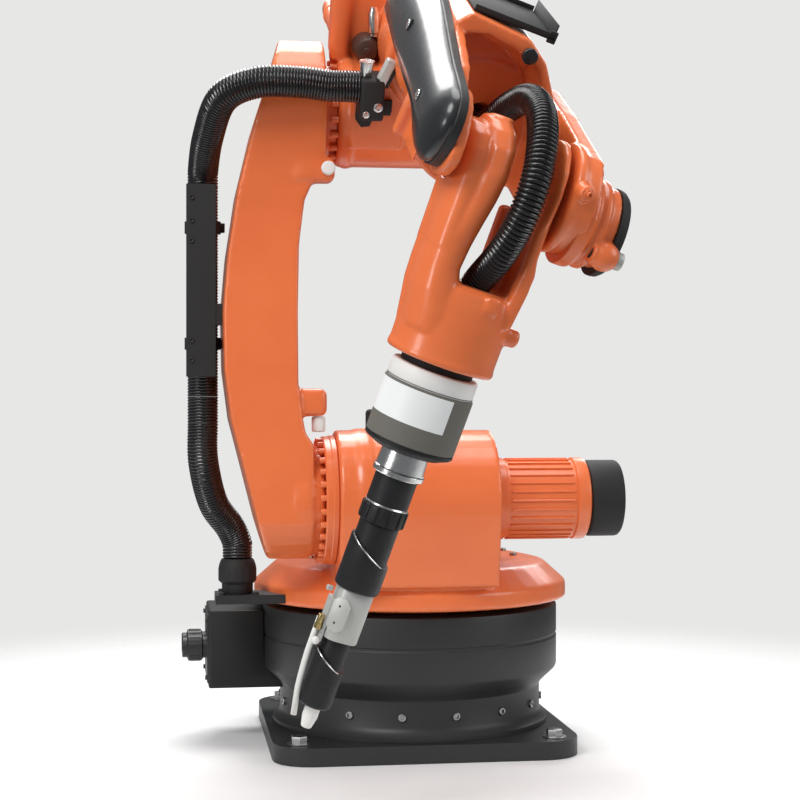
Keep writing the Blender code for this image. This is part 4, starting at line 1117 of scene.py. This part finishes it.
@dataclass
class Forearm:
    """The forearm's housing, motors, tube and connectors."""

    face: float = -0.165
    housing: float = -0.1447
    rise: float = 0.120
    motor_back: float = 0.0303
    # Name, x, z, radius and finish of each motor.
    motors: tuple[tuple[str, float, float, float, Finish], ...] = (
        ("forearm_motor_1", -0.132, 0.112, 0.021, ORANGE),
        # The second motor's dark brown is painted shade on orange paint.
        ("forearm_motor_2", -0.079, 0.128, 0.029, SHADE_BROWN),
        ("forearm_motor_3", -0.013, 0.160, 0.032, ORANGE),
        ("forearm_motor_4", 0.055, 0.125, 0.032, ORANGE))
    # Y and stations of the rounded ribs on the motor plate.
    ribs: tuple[tuple[float, tuple[Station, ...]], ...] = (
        (0.006, ((0.084, -0.1560, -0.1250, 0.016), (0.200, -0.1560, -0.1250, 0.016))),
        (0.012, ((0.070, -0.1540, -0.1270, 0.013), (0.100, -0.1540, -0.1270, 0.013))))
    plate: tuple[Point, ...] = ((-0.1217, 0.050), (-0.1217, 0.020), (-0.1130, 0.0080), (-0.1000, 0.0100),
                                (-0.0960, 0.0200), (-0.0900, 0.0270), (-0.0700, 0.0270), (-0.0680, 0.0340),
                                (-0.0680, 0.0500))
    holder_front: float = -0.152
    slotted_place: tuple[float, float] = (-0.1133, 0.0447)
    socket_place: tuple[float, float] = (-0.0960, 0.0557)
    front_cap: Point = (-0.1015, 0.006, 0.106)
    plug: Point = (-0.1135, -0.130, 0.1190)
    second_plug: Point = (-0.0905, -0.016, 0.126)
    connector: Point = (-0.0863, -0.1415, 0.1060)
    lean: float = 24.0

    def build(self) -> None:
        """Build the pieces of the forearm."""
        place = Robot.places["forearm"]
        shell = Shape().node("forearm_housing")
        for y, stations in self.ribs:
            shell.loft(stations, place @ at((0, y, 0)), 2.4)
        shell.drum(0.0865, 0, 0.012, place @ at((-0.132, 0, 0), Turn.RIGHT), 0.003, 96)
        Robot.casting("forearm_casting", shell, "forearm", ["forearm_housing"], 0.0028, 7)
        side = [(0, 0.0197), (0.068, 0.0197), (0.070, 0.018), (0.070, 0.001), (0.069, 0), (0, 0)]
        flange = Shape().turned(side, place @ at((self.face + GAP, 0, 0), Turn.RIGHT), 96)
        Robot.keep("elbow_flange", flange, "forearm", ORANGE, ["a3_gear_flange"])
        bolts = Shape().bolts(20, 0.0752, place @ at((self.housing, 0, 0), Turn.LEFT), 0.0046, 0.0105, 9)
        Robot.keep("elbow_screws", bolts, "forearm", ORANGE)
        for name, x, z, r, finish in self.motors:
            mount = place @ at((x, self.motor_back, z), Turn.BACK)
            side = [(0, 0.1697), (r * 0.80, 0.1697), (r * 0.90, 0.166), (r * 0.92, 0.160), (r * 0.92, 0.130),
                    (r, 0.127), (r, 0.122), (r - 0.0015, 0.120), (r - 0.0015, 0.022), (r, 0.020), (r, 0.001),
                    (r - 0.001, 0), (0, 0)]
            motor = Shape().turned(side, mount, 64)
            motor.bolts(4, r * 0.62, mount @ at((0, 0, 0.1697)), 0.0022, 0.001, 45)
            Robot.keep(name.replace("forearm_motor", "arm_motor"), motor, "forearm", finish, [name])
        side = [(0, 0.3797), (0.045, 0.3797), (0.045, 0.374), (0.058, 0.374), (0.0615, 0.3715),
                (0.062, 0.369), (0.062, 0.352), (0.0605, 0.350), (0.0605, 0.347), (0.062, 0.345),
                (0.062, 0.172), (0.0655, 0.162), (0.072, 0.153), (0.074, 0.149), (0.074, 0.1325),
                (0.0725, 0.1303), (0, 0.1303)]
        tube = Shape().turned(side, place @ at((0, 0, self.rise), Turn.FORWARD), 96)
        Robot.keep("arm_tube", tube, "forearm", ORANGE, ["forearm_tube"], 28)
        ring = Shape().bolts(12, 0.0685, place @ at((0, -0.152, self.rise), Turn.FORWARD), 0.0032, 0.003)
        Robot.keep("tube_screws", ring, "forearm", BOLT)

        holder = Shape().block((-0.1217, self.holder_front, 0.034), (-0.087, -0.0945, 0.096), place, 0.005, 3)
        holder.slab(self.plate, 0.0888, 0.0985, place @ Turn.FORWARD.value, 0.0015, 2)
        Robot.keep("hose_holder_block", holder, "forearm", PLASTIC, ["hose_holder"])
        x, z = self.slotted_place
        silver = Shape().slotted(place @ at((x, self.holder_front, z), Turn.FORWARD, 35), 0.0052, 0.0018)
        x, z = self.socket_place
        silver.drum(0.0068, 0, 0.0012, place @ at((x, self.holder_front, z), Turn.FORWARD), 0.0004, 32)
        silver.socket_screw(place @ at((x, self.holder_front - 0.0012, z), Turn.FORWARD), 0.0052, 0.0040)
        Robot.keep("holder_screws", silver, "forearm", STEEL)
        # The front cap's dark brown is painted shade on a rounded surface in shadow.
        front = place @ at(self.front_cap, Turn.FORWARD)
        cap = Shape().turned([(0, 0.036), (0.010, 0.0355), (0.0155, 0.033), (0.0190, 0.027), (0.0205, 0.018),
                              (0.0205, 0), (0, 0)], front, 64)
        cap.drum(0.0050, 0.030, 0.0375, front, 0.001, 24)
        Robot.keep("motor_front_cap", cap, "forearm", SHADE_BROWN)
        hang = place @ at(self.plug, Turn.DOWN)
        side = [(0, 0.022), (0.0078, 0.022), (0.0095, 0.012), (0.0112, 0.002), (0.0112, 0), (0, 0)]
        plug = Shape().turned(side, hang, 48)
        plug.turned([(0, 0.0290), (0.0055, 0.0290), (0.0062, 0.0280), (0.0062, 0.0215), (0, 0.0215)], hang, 6)
        plug.turned([(0, 0.044), (0.0055, 0.044), (0.0062, 0.040), (0.0088, 0.034), (0.0088, 0.006),
                     (0.0072, 0.004), (0.0072, 0), (0, 0)],
                    place @ facing(self.second_plug, (-0.08, 0, 1)), 40)
        Robot.keep("silver_plug", plug, "forearm", STEEL, ["motor_plug"])
        lean = place @ at(self.connector) @ rotated(self.lean, "Y")
        block = Shape().block((-0.0080, -0.0075, -0.021), (0.0080, 0.0075, 0.021), lean, 0.0035, 3)
        block.block((-0.0055, -0.0088, -0.014), (0.0055, -0.0070, 0.015), lean, 0.0008, 2)
        Robot.keep("grey_connector", block, "forearm", CLAMP, ["connector_block"])
        lever = Shape().block((-0.0095, -0.0095, -0.026), (-0.0040, 0.0085, -0.012), lean, 0.0012)
        lever.block((0.0085, -0.0070, -0.020), (0.0125, 0.0070, 0.012), lean, 0.0012)
        Robot.keep("connector_lever", lever, "forearm", PLASTIC)


@dataclass
class WristYoke:
    """The yoke's casting, its grey cover, tray and the wrist drive."""

    outer: float = 0.100
    wrist: float = -0.250
    axle: float = 0.040
    pin: float = 0.018
    drop: Point = (0, -0.004, -0.017)
    tip: tuple[Point, ...] = ((-0.3330, 0.0600), (-0.3320, 0.0440), (-0.3270, 0.0260), (-0.3180, 0.0100),
                              (-0.3050, -0.0040), (-0.2890, -0.0130), (-0.2690, -0.0185), (-0.2460, -0.0185),
                              (-0.2240, -0.0130), (-0.2030, -0.0050), (-0.1840, 0.0030), (-0.1650, 0.0080),
                              (-0.1400, 0.0105), (-0.0600, 0.0140), (-0.0300, -0.0100), (-0.0150, -0.0640),
                              (-0.0150, -0.100), (-0.360, -0.100), (-0.360, 0.0600))
    step: float = 0.002
    seam: float = -0.0943
    crown: float = 0.0245
    rim_height: float = 0.0112
    screws: tuple[tuple[float, float], ...] = ((-0.215, 0.050), (-0.020, 0.086))
    spine: tuple[Point, Point] = ((-0.262, 0.040), (0.150, 0.078))
    outline: tuple[Point, ...] = (
        (0.215, 0.040), (0.215, 0.085), (0.215, 0.150), (0.150, 0.147), (0.070, 0.142), (0.0, 0.135),
        (-0.055, 0.127), (-0.105, 0.118), (-0.155, 0.109), (-0.206, 0.100), (-0.245, 0.0955),
        (-0.277, 0.0915), (-0.300, 0.0865), (-0.315, 0.0770), (-0.3225, 0.0640), (-0.3240, 0.0480),
        (-0.3190, 0.0310),
        (-0.3110, 0.0160), (-0.3000, 0.0030), (-0.2860, -0.0060), (-0.2680, -0.0110), (-0.2480, -0.0110),
        (-0.2280, -0.0060), (-0.2080, 0.0020), (-0.1880, 0.0100), (-0.1680, 0.0150), (-0.1400, 0.0175),
        (-0.1000, 0.0190), (-0.042, 0.0210), (0.020, 0.0240), (0.080, 0.0280), (0.150, 0.0340))

    def inset(self, point: Point) -> tuple[float, float]:
        """Move a point of the outline a little towards the spine."""
        middle = (Vector(self.spine[0]) + Vector(self.spine[1])) / 2
        goal = Vector((max(min(point[0], self.spine[1][0]), self.spine[0][0]), middle.y))
        return tuple(Vector(point) + (goal - Vector(point)).normalized() * self.step)

    def build(self) -> None:
        """Build the pieces of the yoke."""
        place = Robot.places["wrist_yoke"]
        yoke = Shape().node("yoke")
        front = ((-0.0790, 0.030), (-0.0788, 0.1216), (-0.0467, 0.1297), (-0.007, 0.1245), (0.0282, 0.1119),
                 (0.0554, 0.0807), (0.0715, 0.040), (0.0735, 0.0), (0, 0.0))
        back = ((-0.0750, 0.030), (-0.0750, 0.104), (-0.059, 0.117), (-0.010, 0.109), (0.018, 0.093),
                (0.044, 0.057), (0.058, 0.030), (0.060, 0.0), (0, 0.0))
        slope = Shape().prism(front, back, 0.112, 0.070, place @ Turn.FORWARD.value)
        axis = place @ at((0, self.wrist, 0), Turn.RIGHT)
        ring = Shape().patch(self.pin, 0.070, -0.0792, -0.0495, 0, 360, axis)
        end = Shape().drum(0.090, -0.0545, -0.0480, axis, 0)
        tip = Shape().slab(self.tip, -0.100, -0.0780, place @ Turn.SIDE.value)
        yoke.carved(tip).carved(slope).carved(ring).carved(end)
        yoke.drum(0.0690, 0.0655, 0.0780, axis, 0.003, 72)
        port = place @ facing((0.0770, -0.3150, 0.0330), (0.30, -0.92, 0.16))
        yoke.drum(0.0105, -0.014, 0.0060, port, 0.002, 40)
        Robot.casting("yoke_casting", yoke, "wrist_yoke", ["yoke"], 0.0026, 10)
        screw = Shape().drum(0.0062, 0, 0.0072, port, 0.001, 40)
        screw.socket_screw(port @ at((0, 0, 0.0070)), 0.0042, 0.003)
        Robot.keep("yoke_port_screw", screw, "wrist_yoke", ORANGE)

        side = place @ at((self.seam, 0, 0)) @ Turn.SIDE.value @ Matrix.Diagonal((1, 1, -1, 1))
        rim = Shape().domed(self.outline, self.spine, 0.009, 0.002, 0.03, side, 3)
        Robot.keep("cover_rim", rim, "wrist_yoke", SEAM)
        inner = [self.inset(point) for point in self.outline]
        shell = Shape().domed(inner, self.spine, 0.0004, self.crown, 0.93, side @ at((0, 0, self.rim_height)))
        Robot.keep("grey_shell", shell, "wrist_yoke", COVER, ["yoke_cover"], 60)
        # Matte black discs round the cover screws: painted shade in the screws' recesses.
        shade_discs = Shape()
        screws = Shape()
        for y, z in self.screws:
            spot = place @ at((self.seam - self.rim_height - self.crown, y, z), Turn.LEFT, 30)
            shade_discs.drum(0.0088, -0.001, 0.0006, spot, 0.0003, 32)
            screws.slotted(spot @ at((0, 0, 0.0006)), 0.0062, 0.0020)
        Robot.keep("cover_screw_wells", shade_discs, "wrist_yoke", PLASTIC)
        Robot.keep("cover_screws", screws, "wrist_yoke", STEEL)
        cap = Shape().drum(0.0104, 0, 0.0078, place @ at((0.008, -0.1053, 0.120), Turn.FORWARD), 0.002, 40)
        Robot.keep("arch_plug", cap, "wrist_yoke", COVER, ["arch_cap"], 40)
        tray = Shape().block((-0.076, -0.088, 0.1443), (0.036, 0.060, 0.1470), place, 0.0006)
        tray.block((-0.076, -0.088, 0.1443), (0.036, -0.0855, 0.1530), place, 0.0006)
        tray.block((-0.076, 0.0575, 0.1443), (0.036, 0.060, 0.1530), place, 0.0006)
        tray.block((0.026, -0.088, 0.1400), (0.0375, -0.084, 0.1560), place, 0.0012)
        tray.block((0.0345, -0.080, 0.1443), (0.0365, 0.050, 0.1640), place, 0.0006)
        Robot.keep("hose_tray", tray, "wrist_yoke", PLASTIC, ["cable_tray"])

        low = Matrix.Translation(self.drop)
        axle = place @ low @ at((self.outer, self.wrist, 0), Turn.RIGHT)
        side = [(0, -0.010), (0.0600, -0.010), (0.0600, 0.0050), (0.0585, 0.0080), (0.0540, 0.0100),
                (0.0540, 0.0150), (0.0565, 0.0170), (0.0565, 0.0235), (0.0540, 0.0255),
                (0.0505, 0.0270), (0.0505, 0.0395), (0, 0.0395)]
        drive = Shape().turned(side, axle, 96)
        lobe = place @ at((0.118, -0.306, -0.034), Turn.RIGHT)
        drive.drum(0.0140, 0, 0.032, lobe, 0.003, 40).ball(0.019, lobe @ at((0, 0, 0.018)))
        drive.block((0.100, -0.300, -0.048), (0.136, -0.262, -0.020), place, 0.006, 3)
        for y, z, size in ((-0.306, 0.004, 0.005), (-0.296, -0.046, 0.006), (-0.270, -0.068, 0.006)):
            drive.ball(size, place @ at((0.104, y, z)))
        Robot.casting("drive_casting", drive, "wrist_yoke", ["drive_housing"], 0.0016, 5)
        # A black disc at the lobe: painted shade inside its hole.
        hole = Shape().drum(0.0078, -0.0010, 0.0100, lobe, 0.0004, 32)
        Robot.keep("drive_hole", hole, "wrist_yoke", PLASTIC)
        side = [(0, 0.0138), (0.044, 0.0138), (0.0520, 0.0120), (0.0550, 0.0080), (0.0558, 0.0040),
                (0.0558, 0), (0, 0)]
        cap = Shape().turned(side, axle @ at((0.004, 0, self.axle)), 96)
        Robot.keep("drive_end_cap", cap, "wrist_yoke", PLASTIC, ["drive_cap"])
        plug = Shape().drum(0.0115, 0.0320, 0.0410, lobe, 0.0015, 32)
        Robot.keep("drive_grey_plug", plug, "wrist_yoke", CLAMP, ["drive_plug"])


@dataclass
class Wrist:
    """The fork of the fifth joint, drawn down the sixth axis from the fifth."""

    ring: float = 0.0665
    left: tuple[Station, ...] = (
        (-0.0655, -0.050, -0.028, 0.012), (-0.062, -0.052, -0.018, 0.026), (-0.051, -0.054, -0.010, 0.043),
        (-0.030, -0.054, -0.0065, 0.059), (0.0, -0.054, -0.006, 0.0655), (0.030, -0.056, -0.009, 0.062),
        (0.060, -0.062, -0.014, 0.058), (0.090, -0.0735, -0.018, 0.055), (0.120, -0.0735, -0.021, 0.055),
        (0.150, -0.0725, -0.010, 0.058), (0.175, -0.0690, 0.010, 0.060), (0.200, -0.0660, 0.020, 0.058))
    cheek: tuple[Station, ...] = (
        (-0.0560, -0.066, -0.034, 0.010), (-0.0520, -0.071, -0.032, 0.026), (-0.0400, -0.0735, -0.030, 0.042),
        (-0.0200, -0.0742, -0.030, 0.053), (0.0, -0.0745, -0.030, 0.056), (0.030, -0.0745, -0.030, 0.056),
        (0.060, -0.0742, -0.030, 0.055), (0.100, -0.0738, -0.030, 0.054))
    foot: tuple[Station, ...] = (
        (0.1345, -0.058, 0.052, 0.050), (0.141, -0.0690, 0.0610, 0.0595), (0.158, -0.0690, 0.0645, 0.0645),
        (0.180, -0.0675, 0.0665, 0.0665), (0.215, -0.0665, 0.0665, 0.0665), (0.2345, -0.0665, 0.0665, 0.0665))
    hub: tuple[Station, ...] = (
        (-0.0655, 0.046, 0.057, 0.012), (-0.062, 0.0445, 0.0595, 0.026), (-0.051, 0.0440, 0.060, 0.043),
        (-0.030, 0.0440, 0.060, 0.059), (0.0, 0.0440, 0.060, 0.0655), (0.030, 0.0440, 0.060, 0.059),
        (0.048, 0.0440, 0.060, 0.048))
    wall: tuple[Station, ...] = (
        (0.010, 0.050, 0.060, 0.052), (0.078, 0.050, 0.0605, 0.050), (0.100, 0.052, 0.0650, 0.049),
        (0.120, 0.052, 0.0650, 0.049), (0.170, 0.044, 0.060, 0.048))
    beam: tuple[Station, ...] = (
        (0.010, 0.0445, 0.060, 0.020), (0.050, 0.0445, 0.060, 0.015), (0.078, 0.0450, 0.0605, 0.014),
        (0.100, 0.0455, 0.0650, 0.014), (0.130, 0.0430, 0.0620, 0.013), (0.170, 0.0340, 0.0560, 0.016))

    port: Point = (-0.058, 0.028, 0.112)
    port_way: Point = (-0.75, 0.66, 0)
    # Outlines that are cut out between the arms, each with its low and high end.
    cuts: tuple[tuple[Profile, float, float], ...] = (
        (((-0.0150, 0.050), (-0.0225, 0.1375), (0.0420, 0.1335), (0.0455, 0.050)), -0.0245, 0.080),
        (((-0.0150, 0.050), (-0.0225, 0.1375), (0.0130, 0.1350), (0.0130, 0.050)), -0.080, -0.0200))

    def build(self) -> None:
        """Build the fork."""
        place = Robot.places["wrist"]
        down = place @ Turn.FORWARD.value
        fork = Shape().loft(self.left, down, 2.5).loft(self.beam, down @ at((0, 0.035, 0)), 2.6)
        fork.loft(self.cheek, down, 2.5)
        fork.drum(0.0150, -0.0680, -0.050, down @ at((-0.030, 0.004, 0)), 0.002, 40)
        fork.loft(self.hub, down, 2.4).loft(self.wall, down, 3.0)
        fork.block((0.018, -0.050, 0.030), (0.064, -0.025, 0.160), down, 0.006, 3)
        fork.loft(self.foot, down, 2.1, 96).drum(self.ring + 0.0018, 0.2250, 0.2347, down, 0.003, 96)
        fork.block((0.011, 0.040, 0.136), (0.030, 0.064, 0.158), down, 0.004, 3)
        fork.drum(0.0115, 0.040, 0.0765, down @ at((0, 0.026, 0.178), Turn.RIGHT), 0.004, 40)
        fork.ball(0.012, down @ at((0.064, 0.004, 0.096)))
        port = down @ facing(self.port, self.port_way)
        fork.drum(0.0075, 0, 0.0125, port, 0.001, 32)
        bore = Shape().drum(0.0225, 0.120, 0.190, down @ at((0.010, 0, 0)), 0, 48)
        seat = Shape().drum(0.0230, -0.090, -0.0520, place @ at((0, 0, 0), Turn.RIGHT), 0, 48)
        fork.carved(bore).carved(seat)
        for outline, low, high in self.cuts:
            fork.carved(Shape().slab(outline, low, high, place @ Matrix.Diagonal((1, -1, 1, 1))))
        Robot.casting("fork_casting", fork, "wrist", ["wrist_fork"], 0.0022, 9)
        ports = Shape().drum(0.0040, 0, 0.0130, port, 0.0005, 24)
        Robot.keep("fork_port_screws", ports, "wrist", ORANGE)


@dataclass
class Torch:
    """The collision box and the welding torch, turned pieces along the sixth axis."""

    # Node, finish and side of each turned piece; the side is closed to the axis at both ends.
    pieces: dict[str, tuple[str, Finish, list[tuple[float, float]]]] = field(default_factory=lambda: {
        "flange_disc": ("tool_flange", PLASTIC, [
            (0.0452, 0.2353), (0.046, 0.2362), (0.046, 0.2436), (0.0452, 0.2445)]),
        "white_ring": ("mount_ring", PALE, [
            (0.0525, 0.2448), (0.0545, 0.2460), (0.055, 0.2480), (0.055, 0.2660), (0.0542, 0.2677)]),
        "box_drum": ("collision_box", WARM, [
            (0.0550, 0.2680), (0.0566, 0.2690), (0.057, 0.2710), (0.057, 0.3385), (0.0562, 0.3398)]),
        "box_foot": ("box_disc", TORCH, [
            (0.0570, 0.3403), (0.0570, 0.3440), (0.0550, 0.3462), (0.0445, 0.3508), (0.0430, 0.3518)]),
        "bright_socket": ("torch_socket", STEEL, [
            (0.0290, 0.3523), (0.0300, 0.3530), (0.0312, 0.3765), (0.0318, 0.3768), (0.0330, 0.3784),
            (0.0330, 0.3836), (0.0318, 0.3848)]),
        "neck": ("torch_neck", TORCH, [
            (0.0265, 0.3853), (0.0270, 0.3860), (0.0270, 0.4220), (0.0265, 0.4228)]),
        "barrel": ("torch_barrel", TORCH, [
            (0.0250, 0.4483), (0.0255, 0.4490), (0.0255, 0.5090), (0.0250, 0.5098)]),
        "nozzle": ("torch_nozzle", CERAMIC, [
            (0.0095, 0.6973), (0.0100, 0.6980), (0.0100, 0.7130), (0.0070, 0.7265), (0.0062, 0.7277)]),
    })
    # Rise of the sleeves' sloping top edges along X and Y, and the heights where they cross the axis.
    cut: tuple[float, float] = (0.55, 0.25)
    sleeve_cut: float = 0.4840
    body_cut: float = 0.6340
    pad: Profile = ((-0.012, -0.044), (0.012, -0.044), (0.024, -0.030), (0.024, 0.030), (0.012, 0.044),
                    (-0.012, 0.044), (-0.024, 0.030), (-0.024, -0.030))
    pad_place: Point = (-0.0135, 0.0170, 0.571)
    pad_way: Point = (-0.62, 0.78, 0)

    def slope(self, height: float, place: Matrix) -> Shape:
        """Make a large block whose sloping foot cuts a sleeve's top edge at a height."""
        lay = place @ facing((0, 0, height), (-self.cut[0], -self.cut[1], 1))
        return Shape().block((-0.08, -0.08, -0.10), (0.08, 0.08, 0), lay, 0)

    def build(self) -> None:
        """Build the torch from its flange to its nozzle."""
        place = Robot.places["torch"] @ Turn.FORWARD.value
        for name, (node, finish, side) in self.pieces.items():
            profile = [(0, side[0][1])] + side + [(0, side[-1][1])]
            Robot.keep(name, Shape().turned(profile, place, 80), "torch", finish, [node], 28)
        nut = Shape().turned([(0, 0.4233), (0.0262, 0.4233), (0.0285, 0.4246), (0.0285, 0.4470),
                              (0.0272, 0.4477), (0, 0.4477)], place, 80)
        nut.ribs(14, 0.0280, place @ at((0, 0, 0.4362)), (-0.0012, -0.0044, -0.0100),
                 (0.0019, 0.0044, 0.0108), 0.0014, 3)
        Robot.keep("ribbed_nut", nut, "torch", TORCH, ["torch_nut"])
        # A thin bright steel band on the nut's top edge: a painted highlight where that edge catches the
        # light.
        arc = Shape().turned([(0, 0.4224), (0.0272, 0.4224), (0.0284, 0.4240), (0.0284, 0.4246), (0, 0.4246)],
                             place, 80)
        Robot.keep("nut_arc", arc, "torch", STEEL)
        sleeve = Shape().turned([(0, 0.4690), (0.0280, 0.4690), (0.0290, 0.4700), (0.0290, 0.5345),
                                 (0.0280, 0.5368), (0, 0.5368)], place, 80)
        sleeve.carved(self.slope(self.sleeve_cut, place))
        Robot.keep("sleeve", sleeve, "torch", TORCH, ["torch_sleeve"])
        lower = Shape().turned([(0, 0.6170), (0.0206, 0.6170), (0.0216, 0.6180), (0.0216, 0.6880),
                                (0.0206, 0.6945), (0.0180, 0.6967), (0, 0.6967)], place, 80)
        lower.carved(self.slope(self.body_cut, place))
        lower.drum(0.0180, 0.6053, 0.6600, place, 0.001, 64)
        Robot.keep("body", lower, "torch", TORCH, ["torch_body"])
        # Thin bright steel tubes along the sloping cut edges: painted highlights where the edges catch the
        # light.
        rims = Shape()
        for radius, height in ((0.0289, self.sleeve_cut), (0.0215, self.body_cut)):
            curve = [Vector((radius * math.cos(math.radians(a)), radius * math.sin(math.radians(a)), 0))
                     for a in range(62, 172, 6)]
            for point in curve:
                point.z = height + self.cut[0] * point.x + self.cut[1] * point.y
            rims.sweep(curve, [0.0010] * len(curve), place, 8)
        Robot.keep("bevel_rims", rims, "torch", STEEL)

        label = Shape().patch(0.0571, 0.0003, 0.2705, 0.3130, 70, 118, place)
        Robot.keep("drum_label", label, "torch", LABEL)
        band = Shape().patch(0.0551, 0.0003, 0.2655, 0.2662, 0, 360, place)
        Robot.keep("ring_line", band, "torch", SEAM)

        clamp = Shape().loft([(0.5375, -0.0222, 0.0222, 0.0222), (0.5385, -0.0228, 0.0228, 0.0228),
                              (0.6025, -0.0228, 0.0228, 0.0228), (0.6045, -0.0220, 0.0220, 0.0220)],
                             place, 3.2, 64)
        pad = place @ facing(self.pad_place, self.pad_way)
        clamp.slab([(x * 0.5, y * 0.5) for x, y in self.pad], 0, 0.0062, pad, 0.001, 2)
        Robot.keep("clamp_block", clamp, "torch", CLAMP, ["torch_clamp"])
        # Two dark discs on the pad: painted shade inside the clamp's holes.
        holes = Shape()
        for y in (-0.0115, 0.0105):
            holes.drum(0.0015, 0.0058, 0.0065, pad @ at((0.001, y, 0)), 0.0002, 20)
        Robot.keep("clamp_holes", holes, "torch", SEAM)
        plate = Shape().node("guide_bracket")
        plate.drum(0.0034, 0, 0.0080, place @ at((-0.0300, 0.006, 0.5440), Turn.LEFT), 0.0008, 24)
        Robot.keep("guide_plate", plate, "torch", CLAMP, ["guide_bracket"])
        wire = place @ at((-0.0330, 0.010, 0))
        fitting = Shape().drum(0.0042, 0.578, 0.590, wire, 0.0008, 24)
        fitting.turned([(0, 0.597), (0.0052, 0.597), (0.0052, 0.590), (0, 0.590)], wire, 6)
        Robot.keep("brass_fitting", fitting, "torch", BRASS)
        guide = Shape().node("wire_guide").ball(0.0052, place @ at((-0.0300, 0.012, 0.612)))
        Robot.keep("guide_tube", guide, "torch", PALE, ["wire_guide"])


@dataclass
class Studio:
    """Camera, floor, lamps and world."""

    lens: float = 76.5
    sensor: float = 36.0
    stand: Point = (-0.40942, -2.80007, 0.55464)
    look: float = -8.0
    ambient: float = 0.42
    mirrored: float = 0.17
    sky: tuple[float, ...] = (0.93, 0.96, 1.0, 1)
    paper: tuple[float, ...] = (0.80, 0.80, 0.79, 1)
    floor_near: float = 0.45
    floor_far: float = 1.60
    # Name, place, aim, size and power of each lamp.
    lamps: tuple[tuple[str, Point, Point, float, float], ...] = (
        ("key", (-1.6, -2.2, 2.7), (-0.1, -0.4, 0.8), 1.5, 62.0),
        ("fill", (2.6, -1.6, 1.6), (0, -0.4, 0.6), 2.0, 26.0),
        ("band", (-0.25, 1.44, 3.2), (-0.1, -0.5, 0.9), 2.1, 95.0),
        ("low", (-2.4, -1.9, 0.95), (-0.1, -0.6, 0.5), 0.7, 12.0),
        ("back", (1.6, 2.2, 2.0), (0, -0.2, 0.8), 1.4, 22.0),
        ("top", (0.2, -0.6, 3.2), (0, -0.3, 0.6), 1.6, 30.0))

    def build(self) -> None:
        """Set the stage."""
        scene = bpy.context.scene
        scene.view_settings.view_transform = "Standard"
        self.camera(scene)
        self.floor()
        self.world(scene)
        for name, place, aim, size, power in self.lamps:
            lamp = bpy.data.lights.new(name, "AREA")
            lamp.shape = "DISK"
            lamp.size = size
            lamp.energy = power
            made = bpy.data.objects.new(name, lamp)
            made.location = place
            made.rotation_euler = (Vector(aim) - Vector(place)).to_track_quat("-Z", "Y").to_euler()
            scene.collection.objects.link(made)

    def camera(self, scene: bpy.types.Scene) -> None:
        """Set up the camera that the photo was fitted with."""
        data = bpy.data.cameras.new("camera")
        data.lens = self.lens
        data.sensor_width = self.sensor
        data.clip_end = 100
        camera = bpy.data.objects.new("camera", data)
        camera.location = self.stand
        camera.rotation_euler = (math.radians(90), 0, math.radians(self.look))
        scene.collection.objects.link(camera)
        scene.camera = camera

    def floor(self) -> None:
        """Lay a pale floor that fades out round the robot."""
        floor = Shape().drum(3.0, -0.02, -0.0005, Matrix.Identity(4), 0.005, 96).object("floor")
        pale = bpy.data.materials.new("pale_floor")
        pale.use_nodes = True
        tree = pale.node_tree
        shader = tree.nodes["Principled BSDF"]
        shader.inputs["Base Color"].default_value = self.paper
        shader.inputs["Roughness"].default_value = 0.7
        where = tree.nodes.new("ShaderNodeTexCoord")
        reach = tree.nodes.new("ShaderNodeVectorMath")
        reach.operation = "LENGTH"
        tree.links.new(where.outputs["Object"], reach.inputs[0])
        fade = Group.ramp(tree, reach.outputs["Value"], self.floor_near, self.floor_far)
        clear = tree.nodes.new("ShaderNodeBsdfTransparent")
        blend = tree.nodes.new("ShaderNodeMixShader")
        tree.links.new(fade, blend.inputs["Fac"])
        tree.links.new(shader.outputs[0], blend.inputs[1])
        tree.links.new(clear.outputs[0], blend.inputs[2])
        tree.links.new(blend.outputs[0], tree.nodes["Material Output"].inputs["Surface"])
        floor.data.materials.append(pale)

    def world(self, scene: bpy.types.Scene) -> None:
        """Light all round softly, less in mirrors, behind a plain backdrop."""
        world = bpy.data.worlds.new("studio")
        scene.world = world
        world.use_nodes = True
        tree = world.node_tree
        tree.nodes.clear()
        soft = tree.nodes.new("ShaderNodeBackground")
        soft.inputs["Color"].default_value = self.sky
        seen = tree.nodes.new("ShaderNodeBackground")
        seen.inputs["Color"].default_value = self.paper
        seen.inputs["Strength"].default_value = 1.0
        ray = tree.nodes.new("ShaderNodeLightPath")
        mix = tree.nodes.new("ShaderNodeMixShader")
        out = tree.nodes.new("ShaderNodeOutputWorld")
        dim = tree.nodes.new("ShaderNodeMath")
        dim.operation = "MULTIPLY_ADD"
        tree.links.new(ray.outputs["Is Glossy Ray"], dim.inputs[0])
        dim.inputs[1].default_value = self.mirrored - self.ambient
        dim.inputs[2].default_value = self.ambient
        tree.links.new(dim.outputs[0], soft.inputs["Strength"])
        tree.links.new(ray.outputs["Is Camera Ray"], mix.inputs["Fac"])
        tree.links.new(soft.outputs[0], mix.inputs[1])
        tree.links.new(seen.outputs[0], mix.inputs[2])
        tree.links.new(mix.outputs[0], out.inputs["Surface"])


def main() -> None:
    """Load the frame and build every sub-assembly on it."""
    logging.basicConfig(level=logging.INFO, format="%(message)s")
    for obj in list(bpy.data.objects):
        bpy.data.objects.remove(obj, do_unlink=True)
    Robot.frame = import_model()
    Studio().build()
    Group.build_all()
    for part in (Foot(), Turntable(), UpperArm(), Hoses(), Forearm(), WristYoke(), Wrist(), Torch()):
        part.build()
        LOG.info("%s built", type(part).__name__)


if __name__ == "__main__":
    main()
